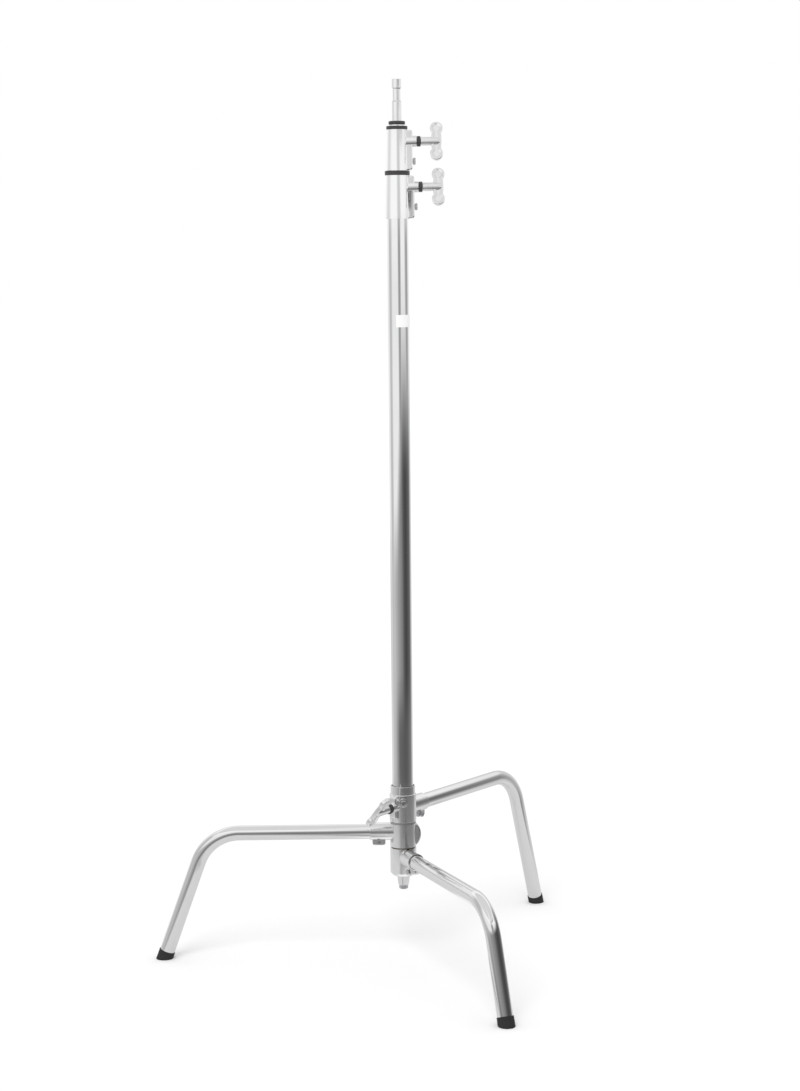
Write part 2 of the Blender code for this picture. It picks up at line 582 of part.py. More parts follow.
def add_sliding_leg():
    """Collar, liner, tube, foot, screws and wing knob of the leg that slides on the column."""
    axis = make_axis("sliding_leg_axis", SLIDING_COLLAR_BOTTOM, SLIDING_LEG_AZIMUTH)
    liner_inner = COLUMN_RADIUS + FIT
    liner_outer = liner_inner + LINER_WALL
    bore_radius = liner_outer + FIT
    barrel = bore_radius + SLIDING_BARREL_WALL
    neck = bore_radius + SLIDING_NECK_WALL
    height = SLIDING_COLLAR_HEIGHT
    shoulder = height - SLIDING_NECK_HEIGHT
    profile = [(0, 0), (barrel - BRACKET_CHAMFER, 0), (barrel, BRACKET_CHAMFER),
               (barrel, shoulder - BRACKET_CHAMFER), (barrel - BRACKET_CHAMFER, shoulder),
               (neck, shoulder), (neck, height), (0, height)]
    collar = add_object("sliding_collar", turned(profile, LARGE_SIDES), "chrome", axis)
    rib_bottom = SLIDING_KNOB_RISE - SLIDING_RIB_HEIGHT / 2
    rib_top = min(SLIDING_KNOB_RISE + SLIDING_RIB_HEIGHT / 2, shoulder - FIT)
    knob_reach = add_knob_seat(collar, barrel, COLUMN_BORE_RADIUS, rib_bottom, rib_top,
                               SLIDING_KNOB_RISE, math.pi)
    drag_place = outward(DRAG_SCREW_RISE, DRAG_SCREW_AZIMUTH - SLIDING_LEG_AZIMUTH)
    boss_face = barrel + DRAG_BOSS_REACH
    add_tool(collar, "UNION", bore(DRAG_BOSS_RADIUS, COLUMN_BORE_RADIUS, boss_face, SMALL_SIDES),
             drag_place)
    add_arm(collar, SLIDING_ARM_HEIGHT, COLUMN_BORE_RADIUS)
    add_tool(collar, "DIFFERENCE", bore(bore_radius, -height, height * 2, LARGE_SIDES))
    cut_knob_bore(collar, knob_reach, liner_outer, SLIDING_KNOB_RISE, math.pi)
    drag_hole = bore(BOLT_DIAMETER / 2 + FIT, 0.0, barrel * 2, SCREW_SIDES)
    add_tool(collar, "DIFFERENCE", drag_hole, drag_place)
    add_leg_tube("sliding_leg_tube", axis, SLIDING_CORNER_RADIUS, SLIDING_ARM_HEIGHT)
    add_leg_foot("sliding_leg_foot", axis, SLIDING_CORNER_RADIUS, SLIDING_ARM_HEIGHT)
    add_pinch_bolt("sliding_leg_bolt", axis, SLIDING_ARM_HEIGHT)
    add_drag_screw(axis, drag_place, liner_outer + FIT, boss_face + FIT)
    liner_axis = make_axis("sliding_liner_axis", SLIDING_COLLAR_BOTTOM)
    liner = add_object("sliding_liner", pipe(liner_outer, liner_inner, 0.0, height, LARGE_SIDES),
                       "black_nylon", liner_axis)
    slit = block((0.0, -LINER_SLIT / 2, -height), (barrel, LINER_SLIT / 2, height * 2))
    add_tool(liner, "DIFFERENCE", slit)
    add_knob("sliding", axis, liner_outer, knob_reach, SLIDING_KNOB_RISE, math.pi,
             SLIDING_KNOB_ROLL)


def add_drag_screw(parent, place, start, head_start):
    """The round-headed screw that sets how tightly the liner grips the column."""
    head_end = head_start + DRAG_HEAD_HEIGHT
    shank = BOLT_DIAMETER / 2
    head = DRAG_HEAD_DIAMETER / 2
    profile = [(0, start), (shank, start), (shank, head_start), (head, head_start),
               (head, head_end - DRAG_HEAD_CHAMFER), (head - DRAG_HEAD_CHAMFER, head_end),
               (0, head_end)]
    add_object("sliding_drag_screw", turned(profile, SMALL_SIDES), "bright_steel", parent, place)


def add_knob_seat(collar, barrel, root, rib_bottom, rib_top, knob_rise, azimuth):
    """Add the rib and the boss that a wing knob screws into; returns the boss face's reach."""
    rib_reach = barrel + RIB_REACH
    boss_face = rib_reach + BOSS_REACH
    rib_outline = [(root, rib_bottom), (rib_reach - RIB_CHAMFER, rib_bottom),
                   (rib_reach, rib_bottom + RIB_CHAMFER), (rib_reach, rib_top - RIB_CHAMFER),
                   (rib_reach - RIB_CHAMFER, rib_top), (root, rib_top)]
    turn = Matrix.Rotation(azimuth, 4, "Z")
    add_tool(collar, "UNION", extruded(rib_outline, RIB_WIDTH), turn)
    boss_root = root - FIT
    boss_rim = boss_face - BOSS_CHAMFER
    boss = turned([(0, boss_root), (BOSS_RADIUS, boss_root), (BOSS_RADIUS, boss_rim),
                   (BOSS_RADIUS - BOSS_CHAMFER, boss_face), (0, boss_face)], SMALL_SIDES,
                  twist=TWIST)
    add_tool(collar, "UNION", boss, outward(knob_rise, azimuth))
    return boss_face


def cut_knob_bore(collar, boss_face, clamped_radius, knob_rise, azimuth):
    """Bore a collar for a knob's screw, with a wider bore for the brake pad inside."""
    place = outward(knob_rise, azimuth)
    screw_bore = bore(KNOB_SCREW_DIAMETER / 2 + FIT, 0.0, boss_face * 2, SMALL_SIDES)
    add_tool(collar, "DIFFERENCE", screw_bore, place)
    pad_end = clamped_radius + FIT + PAD_LENGTH + KNOB_TRAVEL + FIT
    pad_bore = bore(PAD_DIAMETER / 2 + FIT, 0.0, pad_end, SMALL_SIDES)
    add_tool(collar, "DIFFERENCE", pad_bore, place)


def wing_outline(inner_edge):
    """The outline of a knob's wings, as (reach, span) points: two lobes and a waist."""
    centre = inner_edge + WING_LOBE_RADIUS
    waist_out = centre + WING_WAIST
    waist_in = centre - WING_WAIST
    upper = arc((centre, WING_HALF_SPAN), WING_LOBE_RADIUS, -math.pi / 4, math.pi * 5 / 4,
                LOBE_STEPS)
    lower = [(reach, -span) for reach, span in reversed(upper)]
    return upper + [(waist_in, 0.0)] + lower + [(waist_out, 0.0)]


def knob_shape(inner_edge):
    """The wings of a knob, a bevelled plate that contains the knob's axis."""
    outline = wing_outline(inner_edge)
    shape = extruded([(span, reach) for reach, span in outline], WING_THICKNESS)
    rims = [edge for edge in shape.edges if abs(edge.verts[0].co.y - edge.verts[1].co.y) < MERGE]
    bmesh.ops.bevel(shape, geom=rims, offset=WING_BEVEL, segments=1, affect="EDGES")
    bmesh.ops.recalc_face_normals(shape, faces=shape.faces)
    return shape


def add_knob(prefix, parent, clamped_radius, boss_face, knob_rise, azimuth, roll):
    """Brake pad, screw, washer and wing knob, all on one axis that points outward."""
    place = outward(knob_rise, azimuth, roll)
    pad_start = clamped_radius + FIT
    pad_end = pad_start + PAD_LENGTH
    pad = rod(PAD_DIAMETER / 2, pad_start, pad_end, SMALL_SIDES)
    add_object(f"{prefix}_brake_pad", pad, "white_nylon", parent, place)
    washer_start = boss_face + FIT
    washer_end = washer_start + KNOB_WASHER_THICKNESS
    washer = pipe(KNOB_WASHER_RADIUS, KNOB_SCREW_DIAMETER / 2 + FIT, washer_start, washer_end,
                  SMALL_SIDES)
    add_object(f"{prefix}_knob_washer", washer, "black_nylon", parent, place)
    hub_start = washer_end + FIT
    wing_start = hub_start + KNOB_HUB_LENGTH
    wing_middle = wing_start + WING_LOBE_RADIUS
    nose = wing_middle + KNOB_NOSE_LENGTH
    hub = turned([(0, hub_start), (KNOB_HUB_RADIUS, hub_start), (KNOB_HUB_RADIUS, wing_middle),
                  (KNOB_NOSE_RADIUS, nose), (0, nose)], SMALL_SIDES, twist=TWIST)
    knob = add_object(f"{prefix}_wing_knob", knob_shape(wing_start), "chrome", parent, place)
    add_tool(knob, "UNION", hub, place)
    seat_end = hub_start + KNOB_SCREW_SEAT
    seat = rod(KNOB_SCREW_DIAMETER / 2 + FIT, 0.0, seat_end + FIT, SMALL_SIDES)
    add_tool(knob, "DIFFERENCE", seat, place)
    screw = rod(KNOB_SCREW_DIAMETER / 2, pad_end + FIT, seat_end, SCREW_SIDES)
    add_object(f"{prefix}_knob_screw", screw, "bright_steel", parent, place)


def add_spindle(base):
    """The plug, flange, shaft and stud under the column, with its spring, cup and nut."""
    shaft_end = HUB_CLEARANCE_HEIGHT + BRACKET_FLOOR + FIT
    cup_top = HUB_CLEARANCE_HEIGHT - FIT
    cup_bottom = cup_top - CUP_HEIGHT
    nut_top = cup_bottom - FIT
    nut_bottom = nut_top - NUT_HEIGHT
    plug_radius = COLUMN_BORE_RADIUS - FIT
    stud_radius = STUD_DIAMETER / 2
    profile = [(0, nut_bottom), (stud_radius, nut_bottom), (stud_radius, shaft_end),
               (SHAFT_RADIUS, shaft_end), (SHAFT_RADIUS, FLANGE_BOTTOM),
               (SPINDLE_FLANGE_RADIUS, FLANGE_BOTTOM), (SPINDLE_FLANGE_RADIUS, FLANGE_TOP),
               (plug_radius, FLANGE_TOP), (plug_radius, SPINDLE_TOP), (0, SPINDLE_TOP)]
    spindle = add_object("column_spindle", turned(profile, LARGE_SIDES), "bright_steel", base)
    column_pin_place = outward(COLUMN_BOTTOM + COLUMN_PIN_RISE)
    pin_hole = bore(CROSS_PIN_DIAMETER / 2 + FIT, -COLUMN_DIAMETER, COLUMN_DIAMETER, SCREW_SIDES)
    add_tool(spindle, "DIFFERENCE", pin_hole, column_pin_place)
    dowel_place = outward(bracket_pin_height(), BOTTOM_LEG_AZIMUTH + math.pi)
    dowel_hole = bore(CROSS_PIN_DIAMETER / 2 + FIT, SHAFT_RADIUS / 2, SHAFT_DIAMETER, SCREW_SIDES)
    add_tool(spindle, "DIFFERENCE", dowel_hole, dowel_place)
    pin_end = COLUMN_RADIUS - FIT
    column_pin = rod(CROSS_PIN_DIAMETER / 2, -pin_end, pin_end, SCREW_SIDES)
    add_object("column_pin", column_pin, "bright_steel", base, column_pin_place)
    add_spring_cup(base, cup_bottom, cup_top)
    nut = add_object("spindle_nut", hexagon(NUT_WIDTH, nut_bottom, nut_top), "bright_steel", base)
    thread = bore(stud_radius + FIT, nut_bottom - NUT_HEIGHT, nut_top + NUT_HEIGHT, SMALL_SIDES)
    add_tool(nut, "DIFFERENCE", thread)


def add_spring_cup(base, cup_bottom, cup_top):
    """The tapered cup under the hub and the coil spring in it, which presses the hub together."""
    pocket_radius = CUP_BOTTOM_RADIUS - SPRING_WIRE / 2
    profile = [(STUD_DIAMETER / 2 + FIT, cup_bottom), (CUP_BOTTOM_RADIUS, cup_bottom),
               (CUP_TOP_RADIUS, cup_top), (pocket_radius, cup_top),
               (pocket_radius, cup_bottom + CUP_FLOOR),
               (STUD_DIAMETER / 2 + FIT, cup_bottom + CUP_FLOOR)]
    add_object("spring_cup", turned(profile, MEDIUM_SIDES, ring=True), "chrome", base)
    coil_radius = pocket_radius - FIT - SPRING_WIRE / 2
    low = cup_bottom + CUP_FLOOR + FIT + SPRING_WIRE / 2
    high = cup_top - SPRING_WIRE / 2
    add_spring(base, coil_radius, low, high)


def add_spring(base, coil_radius, low, high):
    """A coil spring as one unbroken wire."""
    steps = round(SPRING_TURNS * SPRING_STEPS_PER_TURN)
    rise = (high - low) / steps
    print("spring gap between turns", round(rise * SPRING_STEPS_PER_TURN - SPRING_WIRE, 5))
    curve = bpy.data.curves.new("hub_spring", "CURVE")
    curve.dimensions = "3D"
    curve.bevel_depth = SPRING_WIRE / 2
    curve.bevel_resolution = 1
    curve.use_fill_caps = True
    wire = curve.splines.new("POLY")
    wire.points.add(steps)
    for step in range(steps + 1):
        angle = math.tau * step / SPRING_STEPS_PER_TURN
        wire.points[step].co = (coil_radius * math.cos(angle), coil_radius * math.sin(angle),
                                low + rise * step, 1.0)
    curve.materials.append(finish_material("bright_steel"))
    spring = bpy.data.objects.new("hub_spring", curve)
    bpy.context.collection.objects.link(spring)
    spring.parent = base


def add_column(base):
    """The column tube with its collar, bush and bolt, and the blank label."""
    column = add_object("column_tube", pipe(COLUMN_RADIUS, COLUMN_BORE_RADIUS, COLUMN_BOTTOM,
                                            COLUMN_TOP, LARGE_SIDES), "chrome", base)
    pin_hole = bore(CROSS_PIN_DIAMETER / 2 + FIT, -COLUMN_DIAMETER, COLUMN_DIAMETER, SCREW_SIDES)
    add_tool(column, "DIFFERENCE", pin_hole, outward(COLUMN_BOTTOM + COLUMN_PIN_RISE))
    add_collar("column", base, COLUMN_COLLAR_BOTTOM, COLUMN_COLLAR_HEIGHT, COLUMN_RADIUS,
               LOWER_RISER_RADIUS, COLLAR_SEAT, COLUMN_KNOB_RISE, COLUMN_BOLT_RISE,
               COLUMN_BUSH_PROUD, COLUMN_BUSH_FLANGE_HEIGHT, COLUMN_KNOB_ROLL)
    add_label(base)


def add_label(base):
    """A blank label that follows the round of the column, at the front right."""
    inner = COLUMN_RADIUS + FIT
    outer = inner + LABEL_THICKNESS
    half_angle = LABEL_WIDTH / 2 / inner
    top = COLUMN_TOP - LABEL_DROP
    profile = [(inner, top - LABEL_HEIGHT), (outer, top - LABEL_HEIGHT), (outer, top),
               (inner, top)]
    shape = bmesh.new()
    points = [shape.verts.new((radius, 0.0, height)) for radius, height in profile]
    face = shape.faces.new(points)
    start = Matrix.Rotation(LABEL_AZIMUTH - half_angle, 3, "Z")
    bmesh.ops.rotate(shape, cent=(0, 0, 0), matrix=start, verts=shape.verts)
    bmesh.ops.spin(shape, geom=[face], cent=(0, 0, 0), axis=(0, 0, 1), angle=half_angle * 2,
                   steps=BEND_STEPS)
    bmesh.ops.recalc_face_normals(shape, faces=shape.faces)
    add_object("column_label", shape, "blank_label", base)


def add_collar(prefix, parent, bottom, height, tube_radius, riser_radius, seat, knob_rise,
               bolt_rise, bush_proud, flange_height, roll):
    """A collar on a tube's top, with its bush, fixing bolt and the knob that clamps the riser."""
    base_level = bottom - parent.location.z
    bush_inner = riser_radius + FIT
    bush_outer = bush_inner + BUSH_WALL
    bush_bore = bush_outer + FIT
    top_radius = bush_bore + BUSH_POCKET_WALL
    low_radius = tube_radius + FIT + COLLAR_WALL
    top = base_level + height
    profile = [(0, base_level), (low_radius - RIM_CHAMFER, base_level),
               (low_radius, base_level + RIM_CHAMFER), (top_radius, top), (0, top)]
    collar = add_object(f"{prefix}_collar", turned(profile, LARGE_SIDES), "chrome", parent)
    knob_level = base_level + knob_rise
    seat_radius = max(low_radius, top_radius)
    boss_face = add_knob_seat(collar, seat_radius, riser_radius, base_level + RIM_CHAMFER,
                              top - RIM_CHAMFER, knob_level, 0.0)
    seat_top = base_level + seat
    bush_bottom = top - BUSH_SLEEVE
    inside = turned([(0, base_level - height), (tube_radius + FIT, base_level - height),
                     (tube_radius + FIT, seat_top), (bush_inner, seat_top),
                     (bush_inner, bush_bottom - FIT), (bush_bore, bush_bottom - FIT),
                     (bush_bore, top + height), (0, top + height)], LARGE_SIDES, twist=TWIST)
    add_tool(collar, "DIFFERENCE", inside)
    cut_knob_bore(collar, boss_face, riser_radius, knob_level, 0.0)
    bolt_place = outward(base_level + bolt_rise)
    bolt_hole = bore(BOLT_DIAMETER / 2 + FIT, 0.0, boss_face * 2, SCREW_SIDES)
    add_tool(collar, "DIFFERENCE", bolt_hole, bolt_place)
    add_bush(prefix, parent, bush_inner, bush_outer, bush_bottom, top, top_radius + bush_proud,
             flange_height)
    add_fixing_bolt(prefix, parent, tube_radius + FIT, seat_radius + RIB_REACH + FIT, bolt_place)
    add_knob(prefix, parent, riser_radius, boss_face, knob_level, 0.0, roll)


def add_bush(prefix, parent, inner, outer, sleeve_bottom, collar_top, flange_radius,
             flange_height):
    """The flanged nylon bush that guides a riser in its collar."""
    flange_bottom = collar_top + FIT
    flange_top = flange_bottom + flange_height
    profile = [(inner, sleeve_bottom), (outer, sleeve_bottom), (outer, flange_bottom),
               (flange_radius, flange_bottom), (flange_radius, flange_top - RIM_CHAMFER),
               (flange_radius - RIM_CHAMFER, flange_top), (inner, flange_top)]
    add_object(f"{prefix}_bush", turned(profile, LARGE_SIDES, ring=True), "black_nylon", parent)


def add_fixing_bolt(prefix, parent, start, head_start, place):
    """The hexagon bolt that fixes a collar on its tube."""
    head_end = head_start + BOLT_HEAD_HEIGHT
    bolt = add_object(f"{prefix}_collar_bolt", hexagon(BOLT_HEAD_WIDTH, head_start, head_end),
                      "bright_steel", parent, place)
    shank = bore(BOLT_DIAMETER / 2, start, head_start + BOLT_HEAD_HEIGHT / 2, SCREW_SIDES)
    add_tool(bolt, "UNION", shank, place)


def add_piston(prefix, bore_radius, bottom):
    """A piston head with its seal and its screw, which slides in the tube around it."""
    axis = make_axis(f"{prefix}_piston_axis", bottom)
    head = bore_radius - FIT * 2
    groove = head - PISTON_GROOVE_DEPTH
    seal_low = (PISTON_HEIGHT - PISTON_SEAL_HEIGHT) / 2
    seal_high = seal_low + PISTON_SEAL_HEIGHT
    screw_bore = PISTON_SCREW_DIAMETER / 2 + FIT
    head_bore = PISTON_SCREW_HEAD_DIAMETER / 2 + FIT
    pocket = PISTON_SCREW_HEAD_HEIGHT + FIT
    profile = [(head_bore, 0), (head, 0), (head, seal_low), (groove, seal_low),
               (groove, seal_high), (head, seal_high), (head, PISTON_HEIGHT),
               (screw_bore, PISTON_HEIGHT), (screw_bore, pocket), (head_bore, pocket)]
    piston = add_object(f"{prefix}_piston", turned(profile, MEDIUM_SIDES, ring=True),
                        "black_nylon", axis)
    bleed_reach = (head_bore + groove) / 2
    bleed = bore(PISTON_BLEED_DIAMETER / 2, -PISTON_HEIGHT, PISTON_HEIGHT * 2, SCREW_SIDES)
    add_tool(piston, "DIFFERENCE", bleed, Matrix.Translation((bleed_reach, 0.0, 0.0)))
    seal = pipe(bore_radius - FIT, groove + FIT, seal_low + FIT, seal_high - FIT, MEDIUM_SIDES)
    add_object(f"{prefix}_piston_seal", seal, "black_rubber", axis)
    shank_end = PISTON_HEIGHT + PLUG_HEIGHT - PISTON_SCREW_DIAMETER
    screw = turned([(0, 0), (PISTON_SCREW_HEAD_DIAMETER / 2, 0),
                    (PISTON_SCREW_HEAD_DIAMETER / 2, PISTON_SCREW_HEAD_HEIGHT),
                    (PISTON_SCREW_DIAMETER / 2, PISTON_SCREW_HEAD_HEIGHT),
                    (PISTON_SCREW_DIAMETER / 2, shank_end), (0, shank_end)], SCREW_SIDES)
    add_object(f"{prefix}_piston_screw", screw, "bright_steel", axis)


def add_plug(name, parent, radius):
    """The plug in a riser's lower end that the piston's screw holds in."""
    thread = PISTON_SCREW_DIAMETER / 2 + FIT
    screw_end = PLUG_HEIGHT - PISTON_SCREW_DIAMETER + FIT
    profile = [(0, screw_end), (thread, screw_end), (thread, 0), (radius, 0),
               (radius, PLUG_HEIGHT), (0, PLUG_HEIGHT)]
    add_object(name, turned(profile, MEDIUM_SIDES), "bright_steel", parent)


def add_lower_riser():
    """The lower riser: tube, plug and piston, with the collar that clamps the upper riser."""
    axis = make_axis("lower_riser_axis", LOWER_RISER_BOTTOM)
    length = LOWER_RISER_TOP - LOWER_RISER_BOTTOM
    tube = pipe(LOWER_RISER_RADIUS, LOWER_RISER_BORE_RADIUS, 0.0, length, LARGE_SIDES)
    add_object("lower_riser_tube", tube, "chrome", axis)
    add_plug("lower_riser_plug", axis, LOWER_RISER_BORE_RADIUS - FIT)
    add_piston("lower", COLUMN_BORE_RADIUS, LOWER_PISTON_BOTTOM)
    add_collar("riser", axis, RISER_COLLAR_BOTTOM, RISER_COLLAR_HEIGHT, LOWER_RISER_RADIUS,
               UPPER_RISER_RADIUS, RISER_COLLAR_SEAT, RISER_KNOB_RISE, RISER_BOLT_RISE,
               RISER_BUSH_PROUD, RISER_BUSH_FLANGE_HEIGHT, RISER_KNOB_ROLL)


def add_upper_riser():
    """The upper riser: tube, plug and piston, with the mounting pin on top."""
    axis = make_axis("upper_riser_axis", UPPER_RISER_BOTTOM)
    length = UPPER_RISER_TOP - UPPER_RISER_BOTTOM
    dowel_place = outward(length - PIN_DOWEL_DROP)
    tube = add_object("upper_riser_tube", pipe(UPPER_RISER_RADIUS, UPPER_RISER_BORE_RADIUS, 0.0,
                                               length, LARGE_SIDES), "chrome", axis)
    hole_radius = PIN_DOWEL_DIAMETER / 2 + FIT
    hole_end = UPPER_RISER_RADIUS * 2
    add_tool(tube, "DIFFERENCE", bore(hole_radius, -hole_end, hole_end, SCREW_SIDES), dowel_place)
    add_plug("upper_riser_plug", axis, UPPER_RISER_BORE_RADIUS - FIT)
    add_piston("upper", LOWER_RISER_BORE_RADIUS, UPPER_PISTON_BOTTOM)
    pin_radius = PIN_DIAMETER / 2
    neck = PIN_NECK_DIAMETER / 2
    step = pin_radius - neck
    spigot = UPPER_RISER_BORE_RADIUS - FIT
    ring_low = length + FIT
    base = ring_low + PIN_RING_HEIGHT
    top = base + PIN_LENGTH
    profile = [(0, length - PIN_SPIGOT_LENGTH), (spigot, length - PIN_SPIGOT_LENGTH),
               (spigot, length), (pin_radius, length),
               (pin_radius, base + PIN_NECK_BOTTOM - step), (neck, base + PIN_NECK_BOTTOM),
               (neck, base + PIN_NECK_TOP), (pin_radius, base + PIN_NECK_TOP + step),
               (pin_radius, top - PIN_CHAMFER), (pin_radius - PIN_CHAMFER, top), (0, top)]
    pin = add_object("mounting_pin", turned(profile, LARGE_SIDES), "chrome", axis)
    add_tool(pin, "DIFFERENCE", bore(hole_radius, -hole_end, hole_end, SCREW_SIDES), dowel_place)
    ring = pipe(UPPER_RISER_RADIUS + PIN_RING_LEDGE, pin_radius + FIT, ring_low, base,
                LARGE_SIDES, RIM_CHAMFER)
    add_object("pin_ring", ring, "black_nylon", axis)
    dowel_end = UPPER_RISER_RADIUS - FIT
    dowel = rod(PIN_DOWEL_DIAMETER / 2, -dowel_end, dowel_end, SCREW_SIDES)
    add_object("pin_dowel", dowel, "bright_steel", axis, dowel_place)


def build():
    """Model the whole stand, fully lowered, standing on its three feet."""
    clear_scene()
    base = make_axis("column_axis")
    add_spindle(base)
    add_column(base)
    add_bottom_leg(base)
    add_middle_leg()
    add_sliding_leg()
    add_lower_riser()
    add_upper_riser()
    print("pin top", round(PIN_TOP, 4), "arms", round(BOTTOM_ARM_HEIGHT, 4),
          round(MIDDLE_ARM_HEIGHT, 4), round(SLIDING_ARM_HEIGHT, 4))


build()
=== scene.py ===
# %% [markdown]
# # Air-cushioned light stand
# A chromed column of three telescoping tubes stands on three bent legs. Two collars with wing
# knobs clamp the tubes, and a pin on top takes a lamp.
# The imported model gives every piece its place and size. Each cell below makes finer pieces in the
# same places, as one would by hand: a line is drawn, spun, cut and rounded, then given a finish.

# %% Load the frame
import json
import math

import bpy
from mathutils import Matrix, Vector

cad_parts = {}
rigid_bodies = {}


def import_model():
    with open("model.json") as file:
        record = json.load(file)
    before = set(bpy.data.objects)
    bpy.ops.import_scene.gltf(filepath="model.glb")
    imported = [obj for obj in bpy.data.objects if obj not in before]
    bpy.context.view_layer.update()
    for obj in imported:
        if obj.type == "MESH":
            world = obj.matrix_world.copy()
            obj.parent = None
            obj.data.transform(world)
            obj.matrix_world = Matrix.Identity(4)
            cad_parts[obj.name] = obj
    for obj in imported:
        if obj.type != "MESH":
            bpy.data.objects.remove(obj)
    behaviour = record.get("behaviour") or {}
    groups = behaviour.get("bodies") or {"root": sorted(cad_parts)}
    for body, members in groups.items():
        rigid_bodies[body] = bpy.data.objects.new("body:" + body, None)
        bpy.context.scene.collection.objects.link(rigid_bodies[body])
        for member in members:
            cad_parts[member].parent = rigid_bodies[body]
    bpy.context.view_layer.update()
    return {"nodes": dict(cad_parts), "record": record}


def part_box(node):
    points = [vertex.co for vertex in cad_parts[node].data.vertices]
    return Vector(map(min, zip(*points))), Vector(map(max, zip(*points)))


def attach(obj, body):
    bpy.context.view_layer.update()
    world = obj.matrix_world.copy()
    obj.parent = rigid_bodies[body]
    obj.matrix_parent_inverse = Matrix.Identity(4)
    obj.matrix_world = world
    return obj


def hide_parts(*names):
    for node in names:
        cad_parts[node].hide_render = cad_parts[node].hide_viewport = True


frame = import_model()
BODY_OF = {node: body for body, nodes in frame["record"]["behaviour"]["bodies"].items()
           for node in nodes}
SLOT_OF = {row["node"]: row["material_slot"] for row in frame["record"]["subparts"]}

# %% [markdown]
# ## The camera
# The photograph looks slightly down at the stand from about four metres. The lens and the tilt
# were found from the column's lean, from where the feet stand and from the tubes' widths. The
# small roll turns the column's top to the left, as in the photograph.

# %% Place the camera
LENS = 76.02
FILM_HEIGHT = 36.0
CAMERA_PLACE = Vector((-0.001, -3.8, 1.153))
CAMERA_TILT = math.radians(90.0 - 6.8)
CAMERA_ROLL = math.radians(-0.52)

bpy.ops.object.camera_add()
camera = bpy.context.object
camera.name = "camera"
camera.data.sensor_fit = "VERTICAL"
camera.data.sensor_height = FILM_HEIGHT
camera.data.lens = LENS
camera.matrix_world = (Matrix.Translation(CAMERA_PLACE) @ Matrix.Rotation(CAMERA_TILT, 4, "X")
                       @ Matrix.Rotation(CAMERA_ROLL, 4, "Z"))
bpy.context.scene.camera = camera
bpy.context.scene.view_settings.view_transform = "Standard"
print("camera: lens", LENS, "mm, at", tuple(CAMERA_PLACE))

# %% [markdown]
# ## Shader maths
# A finish is a formula: some noise, some stripes, a mix. Writing it as Python expressions keeps it
# readable. A Channel wraps a socket, and its operators add Math nodes. A Finish holds one
# material's nodes, and its node method adds any other node.


# %% Define the shader helpers
class Channel:
    """A value in a finish. The operators +, -, * and | add Math nodes; | keeps the larger."""

    def __init__(self, finish, socket):
        self.finish = finish
        self.socket = socket

    def maths(self, operation, first, second=0.0):
        """Add one Math node."""
        return self.finish.node("Math", {"operation": operation}, {0: first, 1: second})

    def __add__(self, other):
        return self.maths("ADD", self, other)

    def __sub__(self, other):
        return self.maths("SUBTRACT", self, other)

    def __mul__(self, other):
        return self.maths("MULTIPLY", self, other)

    def __rsub__(self, other):
        return self.maths("SUBTRACT", other, self)

    def __neg__(self):
        return self.maths("MULTIPLY", self, -1.0)

    def __abs__(self):
        return self.maths("ABSOLUTE", self)

    def __or__(self, other):
        return self.maths("MAXIMUM", self, other)

    __radd__ = __add__
    __rmul__ = __mul__


class Finish:
    """One material's nodes."""

    def __init__(self, name, tree=None):
        if tree is None:
            self.material = bpy.data.materials.new(name)
            self.material.use_nodes = True
            tree = self.material.node_tree
        self.tree = tree

    def node(self, kind, settings=None, inputs=None, output=0):
        """Add a node: settings first, then values or links for its sockets."""
        made = self.tree.nodes.new("ShaderNode" + kind)
        for name, value in (settings or {}).items():
            if name == "stops":
                self.set_stops(made.color_ramp, value)
            else:
                setattr(made, name, value)
        for name, value in (inputs or {}).items():
            self.feed(made.inputs[name], value)
        return Channel(self, made.outputs[output])

    def set_stops(self, ramp, stops):
        """Give a colour ramp its (place, grey) stops."""
        while len(ramp.elements) < len(stops):
            ramp.elements.new(1.0)
        for element, (place, grey) in zip(ramp.elements, stops):
            element.position = place
            element.color = (grey, grey, grey, 1.0)

    def feed(self, socket, value):
        """Link a channel to a socket, or set the socket to a plain value."""
        if isinstance(value, Channel):
            self.tree.links.new(value.socket, socket)
        else:
            socket.default_value = value

    def surface(self, **inputs):
        """Feed the material's own shader; underscores stand for spaces in socket names."""
        shader = self.tree.nodes["Principled BSDF"]
        for name, value in inputs.items():
            self.feed(shader.inputs[name.replace("_", " ")], value)
        return self.material

    def coordinates(self, stretch=(1.0, 1.0, 1.0), turn=0.0):
        """The place on the object, turned about the column and stretched for a pattern."""
        place = self.node("TexCoord", output="Object")
        squeeze = tuple(1.0 / part for part in stretch)
        return self.node("Mapping", {"vector_type": "TEXTURE"},
                         {"Vector": place, "Rotation": (0.0, 0.0, turn), "Scale": squeeze})

    def noise(self, place, scale, detail=4.0, roughness=0.55):
        """A cloudy pattern between 0 and 1, with its scale in spots a metre."""
        return self.node("TexNoise", None, {"Vector": place, "Scale": scale, "Detail": detail,
                                            "Roughness": roughness}, output="Fac")

    def blend(self, share, first, second):
        """Mix two colours."""
        return self.node("Mix", {"data_type": "RGBA"}, {0: share, 6: first, 7: second}, output=2)

    def relief(self, height, depth):
        """A bump normal from a height pattern, with its depth in metres."""
        return self.node("Bump", None, {"Height": height, "Distance": depth, "Strength": 1.0},
                         output="Normal")

    def step(self, value, low, high):
        """A soft step from 0 at low to 1 at high."""
        return self.node("MapRange", {"interpolation_type": "SMOOTHSTEP"},
                         {"Value": value, "From Min": low, "From Max": high})

    def band(self, value, centre, half, soft):
        """1 inside a band and 0 outside it, with soft edges."""
        return self.step(abs(value - centre), half + soft, half - soft)


print("shader helpers ready")

# %% [markdown]
# ## Floor and light
# The stand is photographed on plain white. A white floor and a white world give that, and a broad
# sun adds a faint shadow under the legs.

